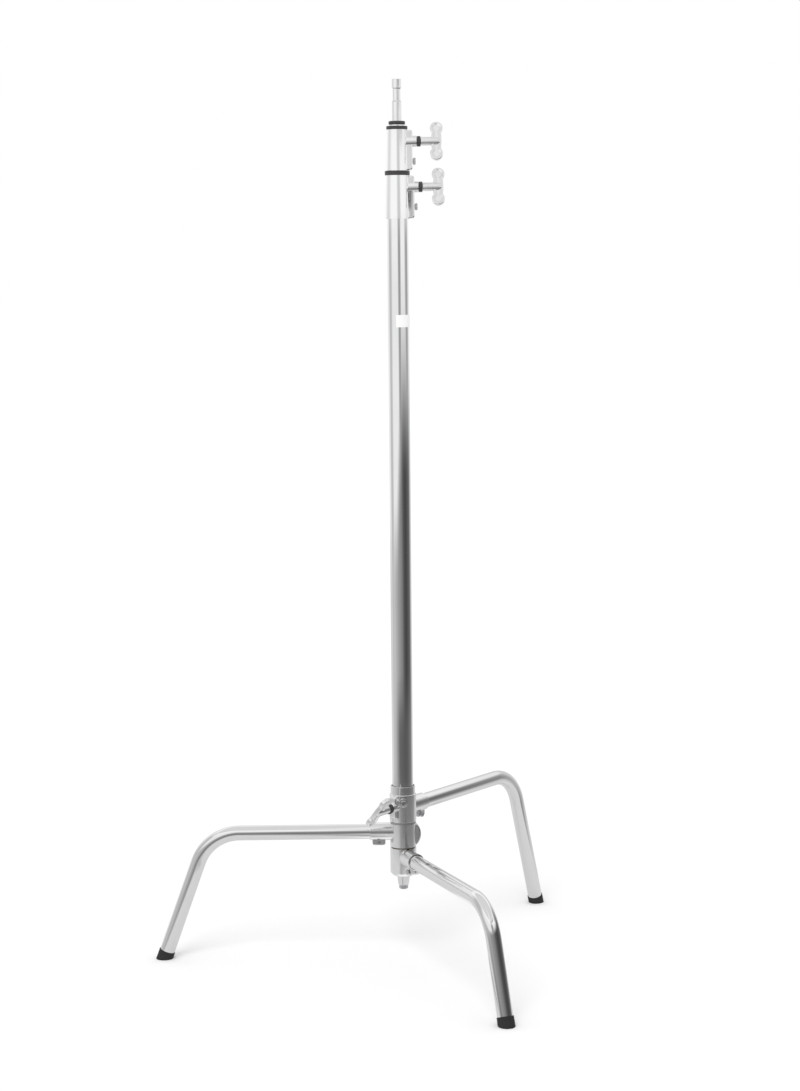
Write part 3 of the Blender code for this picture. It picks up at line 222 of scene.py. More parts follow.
# %% Make the floor and the light
FLOOR_SIZE = 60.0
FLOOR_DROP = 0.0003
FLOOR_GREYS = (0.98, 0.985)
ROOM_LIGHT = 0.83
SUN_POWER = 0.93
SUN_SPREAD = math.radians(32.0)
SUN_TURN = (math.radians(38.0), math.radians(-14.0), 0.0)

bpy.ops.mesh.primitive_plane_add(size=FLOOR_SIZE, location=(0.0, 0.0, -FLOOR_DROP))
floor = bpy.context.object
floor.name = "floor"
paper = Finish("white_paper")
darker, paler = ((grey, grey, grey, 1.0) for grey in FLOOR_GREYS)
fibres = paper.noise(paper.coordinates(), 4.0)
floor.data.materials.append(paper.surface(Base_Color=paper.blend(fibres, darker, paler),
                                          Roughness=0.9, Specular_IOR_Level=0.0))

world = bpy.data.worlds.new("white_room")
world.use_nodes = True
bpy.context.scene.world = world
room = Finish("white_room", world.node_tree)
seen, mirrored, through = (room.node("LightPath", output="Is " + ray + " Ray")
                           for ray in ("Camera", "Glossy", "Transmission"))
plain_view = seen | mirrored | through
backdrop = world.node_tree.nodes["Background"]
backdrop.inputs["Color"].default_value = (1.0, 1.0, 1.0, 1.0)
room.feed(backdrop.inputs["Strength"], ROOM_LIGHT + plain_view * (1.0 - ROOM_LIGHT))

bpy.ops.object.light_add(type="SUN", rotation=SUN_TURN)
sun = bpy.context.object
sun.name = "sun"
sun.data.energy = SUN_POWER
sun.data.angle = SUN_SPREAD
sun.visible_glossy = False
print("floor", FLOOR_SIZE, "m wide, sun", SUN_POWER)

# %% [markdown]
# ## Reflections
# Chrome shows only what is around it, so in an all-white room it would vanish. A product
# photographer hangs dark and grey card round a chromed object. Here one closed drum, seen only in
# reflections, carries those cards: its shader is black where a card hangs and clear in between.
# An azimuth is in degrees from the camera's side towards the right. Three rows of soft cards go
# round: one on the drum's wall, one on its floor and a ring nearer the stand. A row is a list of
# (azimuth, darkness) stops. Tall cards on the wall draw the dark lines down the column.

# %% Stand a drum round the stand
SCREEN_RADIUS = 1.35
SCREEN_HEIGHT = 4.6
SCREEN_LIFT = 0.0006

bpy.ops.mesh.primitive_cylinder_add(vertices=96, radius=SCREEN_RADIUS, depth=SCREEN_HEIGHT,
                                    location=(0.0, 0.0, SCREEN_LIFT + SCREEN_HEIGHT / 2))
screen = bpy.context.object
screen.name = "screen"
bpy.ops.object.transform_apply(location=True, rotation=True, scale=True)
screen.visible_camera = False
screen.visible_diffuse = False
screen.visible_shadow = False
screen.visible_transmission = False
print("screen", SCREEN_RADIUS, "m round the stand")

# %% Hang the cards
FULL_TURN = 360.0
DEGREES = 180.0 / math.pi
WALL_ROW = ((-180, 0.34), (-140, 0.32), (-110, 0.34), (-82, 0.42), (-56, 0.52), (-33, 0.63),
            (-11, 0.71), (11, 0.78), (33, 0.91), (56, 0.94), (83, 0.90), (108, 0.84),
            (124, 0.55), (140, 0.32), (180, 0.34))
GROUND_ROW = ((-180, 0.30), (-140, 0.25), (-106, 0.34), (-75, 0.50), (-50, 0.70), (-27, 0.86),
              (16, 0.89), (39, 0.90), (63, 0.88), (90, 0.82), (110, 0.78), (126, 0.45),
              (150, 0.30), (180, 0.30))
RING_ROW = ((-180, 0.33), (-125, 0.33), (-100, 0.50), (-45, 0.56), (-20, 0.72), (0, 0.84),
            (80, 0.80), (106, 0.70), (124, 0.38), (180, 0.33))
TALL_CARDS = ((12.0, 14.0, 9.0, 0.36, 0.30), (98.0, 22.0, 14.0, 0.10, 0.52),
              (-94.0, 22.0, 16.0, 0.24, 0.22))
TALL_FADE = (1.34, 1.20)
TALL_TOP = (1.90, 1.60)
HIGH_CARD = (42.0, 24.0, 14.0)
HIGH_CARD_FOOT = (1.49, 1.55)
HIGH_CARD_GREY = 0.58
HIGH_GREY = 0.13
HIGH_FADE = (1.35, 1.05)
TOP_GREY = 0.27
TOP_FOOT = (1.60, 1.85)
TOP_PALE = (2.0, 7.0, 8.0)
TOP_PALE_SHARE = 0.75
ROW_FOOT = (0.10, 0.27)
ROW_TOP, ROW_TOP_GAIN = 0.59, 0.36
ROW_FADE, ROW_FADE_GAIN = 0.15, 0.12
RIGHTWARD = (-45.0, 30.0)
RING_START, RING_START_LOSS = 0.75, 0.23
RING_START_TURN = (-45.0, 5.0)
RING_SOFT = 0.13
RING_GAP = (1.12, 0.08, 0.08)
RING_GAP_SHARE = 0.16
OUTER_START, OUTER_START_LOSS = 1.10, 0.13
OUTER_START_TURN = (84.0, 96.0)
OUTER_SOFT = 0.22
NEAR_GREY = 0.30
NEAR_SOFT = (0.04, 0.12)
PATCH = (-20.0, 14.0, 12.0)
PATCH_GREY = 0.60
WALL_FOOT = (0.001, 0.004)

cards = Finish("cards")
spot = cards.node("TexCoord", output="Object")
across, along, height = (cards.node("SeparateXYZ", None, {0: spot}, output=axis)
                         for axis in "XYZ")
reach = cards.node("VectorMath", {"operation": "LENGTH"}, {0: spot}, output="Value")
azimuth = cards.node("Math", {"operation": "ARCTAN2"}, {0: across, 1: -along}) * DEGREES


def card_row(greys):
    """How dark a row of cards is at each azimuth."""
    stops = [(turn / FULL_TURN + 0.5, dark) for turn, dark in greys]
    return cards.node("ValToRGB", {"stops": stops}, {"Fac": azimuth * (1 / FULL_TURN) + 0.5})


wall_row = card_row(WALL_ROW)
ground_row = card_row(GROUND_ROW)
ring_row = card_row(RING_ROW)
rightward = cards.step(azimuth, *RIGHTWARD)
row_top = ROW_TOP + ROW_TOP_GAIN * rightward
row_fade = ROW_FADE + ROW_FADE_GAIN * rightward
tall = cards.band(azimuth, *HIGH_CARD) * cards.step(height, *HIGH_CARD_FOOT) * HIGH_CARD_GREY
for centre, half, soft, grey, gain in TALL_CARDS:
    darkness = grey + cards.step(height, *TALL_FADE) * gain
    tall = tall | cards.band(azimuth, centre, half, soft) * darkness
tall = tall * cards.step(height, *TALL_TOP)
low_wall = ground_row + (wall_row - ground_row) * cards.step(height, *ROW_FOOT)
pale = 1.0 - TOP_PALE_SHARE * cards.band(azimuth, *TOP_PALE)
high_wall = (HIGH_GREY * cards.step(height, *HIGH_FADE)
             | TOP_GREY * pale * cards.step(height, *TOP_FOOT))
wall = low_wall * cards.step(height - row_top, row_fade, -row_fade) | tall | high_wall
ring_start = RING_START - RING_START_LOSS * cards.step(azimuth, *RING_START_TURN)
ring = ring_row * cards.step(reach - ring_start, 0.0, RING_SOFT)
ring = ring * (1.0 - RING_GAP_SHARE * cards.band(reach, *RING_GAP))
patch = cards.band(azimuth, *PATCH) * PATCH_GREY
near = cards.step(reach, *NEAR_SOFT) * (patch | NEAR_GREY)
outer_start = OUTER_START - OUTER_START_LOSS * cards.step(azimuth, *OUTER_START_TURN)
ground = near | ring | ground_row * cards.step(reach - outer_start, 0.0, OUTER_SOFT)
cover = ground + (wall - ground) * cards.step(height, *WALL_FOOT)
shade = cards.node("Emission", None, {"Color": (0.0, 0.0, 0.0, 1.0)})
clear = cards.node("BsdfTransparent")
cards.feed(cards.tree.nodes["Material Output"].inputs["Surface"],
           cards.node("MixShader", None, {0: cover, 1: clear, 2: shade}))
screen.data.materials.append(cards.material)
print("cards:", len(TALL_CARDS), "tall ones and 3 rows,", len(cards.tree.nodes), "nodes")

# %% [markdown]
# ## Metal finishes
# Bright chrome is close to a mirror. What makes it read as plated steel is small: smudges that
# blur the mirror in places, fine lines from drawing and polishing the tube, and a faint orange
# peel. Bolts and screws are zinc-bright, which is duller and has the lines of turning.


# %% Mix the metals
def chrome(name, turn=0.0, tone=0.90, blur=0.045, stretch=(60.0, 60.0, 1.4), peel=0.000004):
    """Bright chrome plate: smudges, lines along the tube and a faint orange peel."""
    finish = Finish(name)
    place = finish.coordinates(turn=turn)
    smudges = finish.step(finish.noise(place, 26.0, 6.0, 0.62), 0.46, 0.72)
    lines = finish.noise(finish.coordinates(stretch, turn), 9.0, 5.0, 0.7)
    pits = finish.noise(place, 900.0, 3.0, 0.5)
    waves = finish.noise(place, 140.0, 2.0, 0.4)
    tint = finish.blend(smudges * 0.55 + lines * 0.25,
                        (tone, tone * 1.002, tone * 1.006, 1.0),
                        (tone * 0.955, tone * 0.955, tone * 0.95, 1.0))
    return finish.surface(Base_Color=tint, Metallic=1.0,
                          Roughness=blur + smudges * 0.05 + lines * 0.035,
                          Normal=finish.relief(waves + pits * 0.3 + lines * 0.5, peel))


def steel(name, colour, blur=0.24):
    """Zinc-bright or bare metal with fine turned lines."""
    finish = Finish(name)
    place = finish.coordinates()
    lines = finish.noise(finish.coordinates((30.0, 30.0, 900.0)), 2.0, 4.0, 0.6)
    stains = finish.noise(place, 120.0, 5.0, 0.6)
    dull = tuple(part * 0.82 for part in colour)
    return finish.surface(Base_Color=finish.blend(stains, (*colour, 1.0), (*dull, 1.0)),
                          Metallic=1.0, Roughness=blur + lines * 0.12 + stains * 0.06,
                          Normal=finish.relief(lines, 0.00001))


print("metals ready")

# %% [markdown]
# ## Moulded finishes
# The feet and seals are rubber, and the rings, washers and bushes nylon. Each is nearly one colour,
# with a fine moulded grain. Then every node gets its finish by the slot named in the frame. The pin
# and the castings are blurrier than the tubes, and the knobs are blurriest, so these have their own
# chrome.


# %% Mix the rubber, nylon and label
def moulded(name, colour, blur, grain, depth):
    """Moulded rubber or plastic: a fine grain, uneven gloss and slightly uneven colour."""
    finish = Finish(name)
    place = finish.coordinates()
    cloud = finish.noise(place, 45.0, 5.0, 0.6)
    skin = finish.noise(place, grain, 3.0, 0.5)
    light = tuple(min(part * 1.35 + 0.006, 0.95) for part in colour)
    return finish.surface(Base_Color=finish.blend(cloud * 0.7 + skin * 0.3, (*colour, 1.0),
                                                  (*light, 1.0)),
                          Roughness=blur + cloud * 0.1 + skin * 0.08,
                          Normal=finish.relief(skin, depth))


FINISH_OF = {
    "chrome": chrome("chrome_tube"),
    "bright_steel": steel("bright_steel", (0.62, 0.62, 0.64)),
    "bronze": steel("bearing_bronze", (0.33, 0.28, 0.21), 0.36),
    "black_rubber": moulded("black_rubber", (0.014, 0.014, 0.014), 0.62, 1500.0, 0.00005),
    "black_nylon": moulded("black_nylon", (0.030, 0.030, 0.031), 0.36, 2200.0, 0.00002),
    "white_nylon": moulded("white_nylon", (0.78, 0.77, 0.72), 0.42, 1800.0, 0.00002),
    "blank_label": moulded("label_film", (0.86, 0.86, 0.85), 0.38, 3000.0, 0.000006),
}
CAST_CHROME = chrome("chrome_casting", tone=0.93, blur=0.10, stretch=(9.0, 9.0, 9.0),
                     peel=0.00001)
HUB_CHROME = chrome("chrome_hub", tone=0.90, blur=0.18, stretch=(9.0, 9.0, 9.0), peel=0.00001)
PIN_CHROME = chrome("chrome_pin", tone=0.86, blur=0.11, stretch=(9.0, 9.0, 60.0))
KNOB_CHROME = chrome("chrome_knob", tone=0.95, blur=0.27, stretch=(12.0, 12.0, 12.0),
                     peel=0.000008)
for node, part in frame["nodes"].items():
    part.data.materials.clear()
    part.data.materials.append(FINISH_OF[SLOT_OF[node]])
print("finishes:", len(bpy.data.materials))

# %% [markdown]
# ## Modelling helpers
# Pieces are joined or cut with Boolean modifiers, and the Bevel modifier breaks their edges,
# because a real edge is never quite sharp and it catches the light. A modifier is added, set and
# applied at once, so that what is left is a plain mesh. A cutting tool sticks out of what it cuts.

# %% Define selection and modifiers
FIT = 0.0003
WELD = 0.000002
SIDES, KNOB_SIDES, SCREW_SIDES, BOLT_SIDES = 96, 64, 48, 32
OVERCUT = 0.01
CUT_REACH = 0.03
SMOOTH_ANGLE = math.radians(32.0)
SHARP_ANGLE = math.radians(38.0)


def select_only(*pieces):
    """Select these pieces alone, the first one active."""
    bpy.ops.object.select_all(action="DESELECT")
    for piece in pieces:
        piece.select_set(True)
    bpy.context.view_layer.objects.active = pieces[0]


def apply_modifier(piece, kind, **settings):
    """Add one modifier, set it and apply it."""
    select_only(piece)
    bpy.ops.object.modifier_add(type=kind)
    step = piece.modifiers[-1]
    for name, value in settings.items():
        setattr(step, name, value)
    bpy.ops.object.modifier_apply(modifier=step.name)
    return piece


def break_edges(piece, width, segments=2):
    """Round every sharp edge a little."""
    return apply_modifier(piece, "BEVEL", width=width, segments=segments, limit_method="ANGLE",
                          angle_limit=SHARP_ANGLE, use_clamp_overlap=True, miter_outer="MITER_ARC")


def combine(piece, operation, tool):
    """Apply a Boolean with a tool and throw the tool away."""
    apply_modifier(piece, "BOOLEAN", operation=operation, solver="EXACT", object=tool)
    bpy.data.objects.remove(tool, do_unlink=True)
    return piece


def join(piece, other):
    """Add another solid to a piece."""
    return combine(piece, "UNION", other)


def cut(piece, tool):
    """Take a tool's shape out of a piece."""
    return combine(piece, "DIFFERENCE", tool)


def edit_all():
    """Open the active piece in edit mode with all of it selected."""
    bpy.ops.object.mode_set(mode="EDIT")
    bpy.ops.mesh.select_all(action="SELECT")


def edit_faces(piece, chosen):
    """Open a piece in edit mode with only its chosen faces selected."""
    bpy.ops.object.mode_set(mode="EDIT")
    bpy.ops.mesh.select_all(action="DESELECT")
    bpy.ops.object.mode_set(mode="OBJECT")
    for face in piece.data.polygons:
        face.select = chosen(face)
    bpy.ops.object.mode_set(mode="EDIT")


print("modifiers ready, edges break above", round(math.degrees(SHARP_ANGLE)), "degrees")

# %% [markdown]
# Nearly every piece of a stand is turned, so the main tool is the lathe: a line is drawn by
# extruding one vertex from point to point, and spun about the Z axis. Most of these lines are
# stepped, like a shaft's. Ribs and lugs are plates: an outline is filled and extruded.


# %% Define the lathe and the plate
def extrude(x, y, z):
    """Extrude what is selected by a distance."""
    bpy.ops.mesh.extrude_region_move(TRANSFORM_OT_translate={"value": (x, y, z)})


def draw_line(points):
    """Draw (x, z) points as a line: one vertex is extruded from point to point."""
    bpy.ops.mesh.primitive_plane_add()
    edit_all()
    bpy.ops.mesh.merge(type="CENTER")
    bpy.ops.transform.translate(value=(points[0][0], 0.0, points[0][1]))
    for (x, z), (next_x, next_z) in zip(points, points[1:]):
        extrude(next_x - x, 0.0, next_z - z)
    bpy.ops.mesh.select_all(action="SELECT")
    return bpy.context.object


def close_skin(piece, edge=0.0, segments=2):
    """Weld what meets, turn every face outward, leave edit mode and break the edges."""
    bpy.ops.mesh.select_all(action="SELECT")
    bpy.ops.mesh.remove_doubles(threshold=WELD)
    bpy.ops.mesh.normals_make_consistent(inside=False)
    bpy.ops.object.mode_set(mode="OBJECT")
    return break_edges(piece, edge, segments) if edge > 0.0 else piece


def turned(profile, edge=0.0, ring=False, sides=SIDES):
    """Turn a (radius, height) profile about Z. A ring's profile closes on itself."""
    piece = draw_line(profile + profile[:1] if ring else profile)
    bpy.ops.mesh.spin(steps=sides, angle=math.tau, center=(0, 0, 0), axis=(0, 0, 1))
    return close_skin(piece, edge)


def stepped(start, *steps, inner=0.0):
    """A stepped profile: each step is a radius and the height where it ends."""
    profile = [(inner, start)]
    for radius, end in steps:
        profile += [(radius, profile[-1][1]), (radius, end)]
    return profile + [(inner, profile[-1][1])]


def rod(radius, start, end, edge=0.0, sides=SIDES):
    """A round bar along Z."""
    return turned(stepped(start, (radius, end)), edge, sides=sides)


def pipe(outer, inner, start, end, edge=0.0, sides=SIDES):
    """A round tube along Z."""
    return turned(stepped(start, (outer, end), inner=inner), edge, True, sides)


def plate(outline, width, edge=0.0, segments=3):
    """Fill an (x, z) outline and extrude it by a width along Y, centred."""
    piece = draw_line(outline + outline[:1])
    bpy.ops.mesh.remove_doubles(threshold=WELD)
    bpy.ops.mesh.edge_face_add()
    bpy.ops.transform.translate(value=(0.0, -width / 2, 0.0))
    extrude(0.0, width, 0.0)
    return close_skin(piece, edge, segments)


print("lathe ready,", SIDES, "sides")

# %% [markdown]
# A piece is made upright on the origin, then laid where it belongs. Its place goes into its mesh,
# so its object stays at the origin. A finished piece rides on the moving body of its node.


# %% Define placing and finishing
def lay(piece, place):
    """Move a piece to its place and apply that, so that its object stays at the origin."""
    piece.matrix_world = place
    select_only(piece)
    bpy.ops.object.transform_apply(location=True, rotation=True, scale=True)
    return piece


def outward(height, azimuth=0.0, roll=0.0):
    """A place at a height whose Z axis points outward from the column at an azimuth."""
    return (Matrix.Translation((0.0, 0.0, height)) @ Matrix.Rotation(azimuth, 4, "Z")
            @ Matrix.Rotation(math.pi / 2, 4, "Y") @ Matrix.Rotation(roll, 4, "Z"))


def arc(centre, radius, start, end, steps):
    """Points on an arc from one angle to another, both ends included."""
    angles = [start + (end - start) * step / steps for step in range(steps + 1)]
    return [(centre[0] + radius * math.cos(a), centre[1] + radius * math.sin(a)) for a in angles]


def finish(piece, node, material=None):
    """Give a piece its finish, let it stand for a node and ride on the node's body."""
    piece.name = "fine_" + node
    piece.data.name = piece.name
    piece.data.materials.clear()
    piece.data.materials.append(material or FINISH_OF[SLOT_OF[node]])
    select_only(piece)
    bpy.ops.object.shade_smooth_by_angle(angle=SMOOTH_ANGLE)
    apply_modifier(piece, "WEIGHTED_NORMAL", mode="FACE_AREA", weight=100, keep_sharp=True)
    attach(piece, BODY_OF[node])
    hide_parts(node)
    print("made", piece.name, len(piece.data.polygons), "faces")
    return piece


def size_of(node):
    """A node's largest radius on +X, its bottom and its top."""
    low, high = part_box(node)
    return high.x, low.z, high.z


print("placing and finishing ready")

# %% [markdown]
# ## Column and risers
# Three steel tubes slide in each other: 35, 30 and 25 mm, each with a 1.5 mm wall. A turned ring
# gives wall and bore at once. A cross pin near the bottom holds the spindle in the column, and a
# smaller one holds the mounting pin in the top tube, so the tubes get their holes.

# %% Turn the tubes
TUBE_WALL = 0.0015
TUBE_EDGE = 0.0003
CROSS_PIN_RADIUS = 0.0025
DOWEL_RADIUS = 0.002


def mid_height(node):
    """The height of the middle of a node's box."""
    low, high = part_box(node)
    return ((low + high) / 2).z


def cross_drill(piece, radius, height, azimuth=0.0, start=None):
    """Drill a piece across its axis, right through or from a start radius outward."""
    drill = rod(radius, -CUT_REACH if start is None else start, CUT_REACH, sides=BOLT_SIDES)
    return cut(piece, lay(drill, outward(height, azimuth)))


def tube(node):
    """A plain tube with the place and size of its node."""
    radius, bottom, top = size_of(node)
    return pipe(radius, radius - TUBE_WALL, bottom, top, TUBE_EDGE)


column_tube = tube("column_tube")
COLUMN_RADIUS, COLUMN_BOTTOM = size_of("column_tube")[:2]
column_pin_height = mid_height("column_pin")
finish(cross_drill(column_tube, CROSS_PIN_RADIUS + FIT, column_pin_height), "column_tube")

LOWER_RISER_RADIUS = size_of("lower_riser_tube")[0]
finish(tube("lower_riser_tube"), "lower_riser_tube")

UPPER_RISER_RADIUS = size_of("upper_riser_tube")[0]
upper_tube = tube("upper_riser_tube")
dowel_height = mid_height("pin_dowel")
finish(cross_drill(upper_tube, DOWEL_RADIUS + FIT, dowel_height), "upper_riser_tube")

for node, radius, height in (("column_pin", CROSS_PIN_RADIUS, column_pin_height),
                             ("pin_dowel", DOWEL_RADIUS, dowel_height)):
    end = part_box(node)[1].x
    finish(lay(rod(radius, -end, end, 0.0004, BOLT_SIDES), outward(height)), node)

# %% [markdown]
# ## Mounting pin
# Lamps and arms slip over this 16 mm pin, and their clamp screw bites in its waist, so that they
# can't lift off. It is one turned piece with a spigot down in the top tube. The black ring under
# it is a cushion for the socket's mouth.

# %% Turn the mounting pin
PIN_RADIUS = 0.008
PIN_NECK_RADIUS = 0.0066
PIN_NECK_LOW = 0.0325
PIN_NECK_HIGH = 0.0515
PIN_EDGE = 0.0006

ring_reach, ring_bottom, ring_top = size_of("pin_ring")
spigot, pin_bottom, pin_top = size_of("mounting_pin")
tube_top = size_of("upper_riser_tube")[2]
neck_step = PIN_RADIUS - PIN_NECK_RADIUS
pin_profile = [(0.0, pin_bottom), (spigot, pin_bottom), (spigot, tube_top),
               (PIN_RADIUS, tube_top), (PIN_RADIUS, ring_top + PIN_NECK_LOW - neck_step),
               (PIN_NECK_RADIUS, ring_top + PIN_NECK_LOW),
               (PIN_NECK_RADIUS, ring_top + PIN_NECK_HIGH),
               (PIN_RADIUS, ring_top + PIN_NECK_HIGH + neck_step), (PIN_RADIUS, pin_top),
               (0.0, pin_top)]
mounting_pin = turned(pin_profile, PIN_EDGE)
finish(cross_drill(mounting_pin, DOWEL_RADIUS + FIT, dowel_height), "mounting_pin", PIN_CHROME)
finish(pipe(ring_reach, PIN_RADIUS + FIT, ring_bottom, ring_top, 0.0012), "pin_ring")

# %% [markdown]
# ## Collars
# A die-cast collar sits on the column's top and another on the lower riser's. It tapers, and a rib
# down its side carries the knob's boss and the bolt that fixes it. A nylon bush in its mouth guides
# the next tube, and its flange shows as a black band.
# The barrel is turned, the rib is a plate with wide bevels and the boss is turned, and all three
# are joined. Then the bores are cut, as a real casting is machined after it is cast.

# %% Cast the collars
COLLAR_WALL = 0.0028
BUSH_WALL = 0.0017
BUSH_POCKET_WALL = 0.0015
BUSH_SLEEVE = 0.010
RIB_REACH = 0.0075
RIB_WIDTH = 0.014
RIB_CHAMFER = 0.003
RIB_EDGE = 0.0022
BOSS_RADIUS = 0.009
BOSS_REACH = 0.0065
CASTING_EDGE = 0.0006
PAD_LENGTH = 0.005
PAD_RADIUS = 0.0045
KNOB_TRAVEL = 0.0025
SCREW_RADIUS = 0.004
BOLT_RADIUS = 0.003


def add_knob_seat(collar, root, rib_reach, rib_bottom, rib_top, height, azimuth):
    """Join the rib and the boss of a wing knob to a collar. Returns the boss face's reach."""
    outline = [(root, rib_bottom), (rib_reach - RIB_CHAMFER, rib_bottom),
               (rib_reach, rib_bottom + RIB_CHAMFER), (rib_reach, rib_top - RIB_CHAMFER),
               (rib_reach - RIB_CHAMFER, rib_top), (root, rib_top)]
    rib = lay(plate(outline, RIB_WIDTH, RIB_EDGE, 4), Matrix.Rotation(azimuth, 4, "Z"))
    join(collar, rib)
    face = rib_reach + BOSS_REACH
    boss = rod(BOSS_RADIUS, root - FIT, face, 0.001, KNOB_SIDES)
    join(collar, lay(boss, outward(height, azimuth)))
    return face


def bore_knob_seat(collar, clamped, face, height, azimuth):
    """Bore a collar for a knob's screw and, wider, for the brake pad behind it."""
    pad_end = clamped + FIT + PAD_LENGTH + KNOB_TRAVEL + FIT
    drill = turned(stepped(0.0, (PAD_RADIUS + FIT, pad_end), (SCREW_RADIUS + FIT, face * 2)),
                   sides=SCREW_SIDES)
    return cut(collar, lay(drill, outward(height, azimuth)))


def cast_collar(prefix, tube_radius, riser_radius, seat):
    """A collar on a tube's top, with its bush."""
    bottom, top = size_of(prefix + "_collar")[1:]
    bush_inner = riser_radius + FIT
    bush_outer = bush_inner + BUSH_WALL
    pocket = bush_outer + FIT
    mouth_radius = pocket + BUSH_POCKET_WALL
    low_radius = tube_radius + FIT + COLLAR_WALL
    collar = turned([(0.0, bottom), (low_radius, bottom), (mouth_radius, top), (0.0, top)])
    knob_height = mid_height(prefix + "_knob_washer")
    face = add_knob_seat(collar, riser_radius, low_radius + RIB_REACH, bottom + CASTING_EDGE,
                         top - CASTING_EDGE, knob_height, 0.0)
    break_edges(collar, CASTING_EDGE)
    bush_bottom = top - BUSH_SLEEVE
    cut(collar, turned(stepped(
        bottom - seat, (tube_radius + FIT, bottom + seat), (bush_inner, bush_bottom - FIT),
        (pocket, top + seat))))
    bore_knob_seat(collar, riser_radius, face, knob_height, 0.0)
    cross_drill(collar, BOLT_RADIUS + FIT, mid_height(prefix + "_collar_bolt"), start=0.0)
    finish(collar, prefix + "_collar", CAST_CHROME)
    flange_radius, sleeve_bottom, flange_top = size_of(prefix + "_bush")
    bush = stepped(sleeve_bottom, (bush_outer, top + FIT), (flange_radius, flange_top),
                   inner=bush_inner)
    finish(turned(bush, 0.0007, True), prefix + "_bush")


COLUMN_COLLAR_SEAT = 0.0355
RISER_COLLAR_SEAT = 0.0300
cast_collar("column", COLUMN_RADIUS, LOWER_RISER_RADIUS, COLUMN_COLLAR_SEAT)
cast_collar("riser", LOWER_RISER_RADIUS, UPPER_RISER_RADIUS, RISER_COLLAR_SEAT)

# %% [markdown]
# ## Bolts and the nut
# A hexagon head starts as a six-sided bar. Turning its ends to a shallow cone leaves the curved
# chamfer that every real bolt head has, so a turned blank is intersected with the bar. The shank
# is joined under it.

# %% Make the bolts
COLLAR_HEAD_WIDTH = 0.010
COLLAR_HEAD_HEIGHT = 0.0042
COLLAR_SHANK_OVERLAP = 0.002
STUD_RADIUS = 0.004
NUT_WIDTH = 0.013


def hexagon(width, start, end, bar_chamfer=0.0009):
    """A hexagonal head along Z with both ends chamfered by turning."""
    corner = width / 2 / math.cos(math.pi / 6)
    blank = turned([(0.0, start), (width / 2 - bar_chamfer / 3, start),
                    (corner, start + bar_chamfer), (corner, end - bar_chamfer),
                    (width / 2 - bar_chamfer / 3, end), (0.0, end)])
    bar = rod(corner * 1.0001, start - width, end + width, sides=6)
    return combine(blank, "INTERSECT", bar)


def collar_bolt(prefix, tube_radius):
    """The bolt that fixes a collar on its tube, its head on the rib."""
    node = prefix + "_collar_bolt"
    head_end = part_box(node)[1].x
    head_start = head_end - COLLAR_HEAD_HEIGHT
    bolt = hexagon(COLLAR_HEAD_WIDTH, head_start, head_end)
    shank_end = head_start + COLLAR_SHANK_OVERLAP
    join(bolt, rod(BOLT_RADIUS, tube_radius + FIT, shank_end, 0.0004, BOLT_SIDES))
    finish(lay(bolt, outward(mid_height(node))), node)


collar_bolt("column", COLUMN_RADIUS)
collar_bolt("riser", LOWER_RISER_RADIUS)
nut_bottom, nut_top = size_of("spindle_nut")[1:]
spindle_nut = hexagon(NUT_WIDTH, nut_bottom, nut_top)
cut(spindle_nut, rod(STUD_RADIUS + FIT, nut_bottom * 0.9, nut_top * 1.1))
finish(spindle_nut, "spindle_nut")

# %% [markdown]
# ## Wing knobs
# Each clamp is turned with a die-cast knob: a hub, and two round wings that give a thumb and a
# finger room. The wings are an outline of arcs, extruded, with both faces dished by an inset. The
# hub is turned and joined. Under it are a black washer, the screw, and the pad that the screw
# presses on the tube.

# %% Make the wing knobs
WING_HALF_SPAN = 0.0215
WING_LOBE_RADIUS = 0.0105
WING_WAIST = 0.0085
WAIST_STEPS = 12
LOBE_STEPS = 30
WING_THICKNESS = 0.008
WING_EDGE = 0.0019
WING_RIM = 0.0023
WING_DISH = ((0.0007, 0.0003), (0.0012, 0.0006), (0.0012, 0.0004), (0.0009, 0.0002))
HUB_RADIUS = 0.007
HUB_LENGTH = 0.015
NOSE_RADIUS = 0.0042
NOSE_LENGTH = 0.007
SCREW_SEAT = 0.012
WASHER_RADIUS = 0.0085
WASHER_THICKNESS = 0.006


def side_of_wings(centre, side):
    """One long side of the wings between the lobes, a flat arc through the waist."""
    half = WING_HALF_SPAN - WING_LOBE_RADIUS * math.sin(math.pi / 4)
    lobe = WING_LOBE_RADIUS * math.cos(math.pi / 4)
    points = []
    for step in range(1, WAIST_STEPS):
        share = 1.0 - 2.0 * step / WAIST_STEPS
        reach = lobe + (WING_WAIST - lobe) * (1.0 - share * share)
        points.append((share * half * side, centre + side * reach))
    return points


def wings(inner_edge):
    """The two wings of a knob, in the plane of its axis, with dished faces."""
    centre = inner_edge + WING_LOBE_RADIUS
    upper = arc((WING_HALF_SPAN, centre), WING_LOBE_RADIUS, -math.pi * 3 / 4, math.pi * 3 / 4,
                LOBE_STEPS)
    lower = arc((-WING_HALF_SPAN, centre), WING_LOBE_RADIUS, math.pi / 4, math.pi * 7 / 4,
                LOBE_STEPS)
    outline = upper + side_of_wings(centre, 1) + lower + side_of_wings(centre, -1)
    piece = plate(outline, WING_THICKNESS)
    for side in (-1.0, 1.0):
        edit_faces(piece, lambda face: face.normal.y * side > 0.9)
        bpy.ops.mesh.inset(thickness=WING_RIM, depth=0.0)
        for inward, down in WING_DISH:
            bpy.ops.mesh.inset(thickness=inward, depth=-down)
        bpy.ops.object.mode_set(mode="OBJECT")
    return break_edges(piece, WING_EDGE, 5)


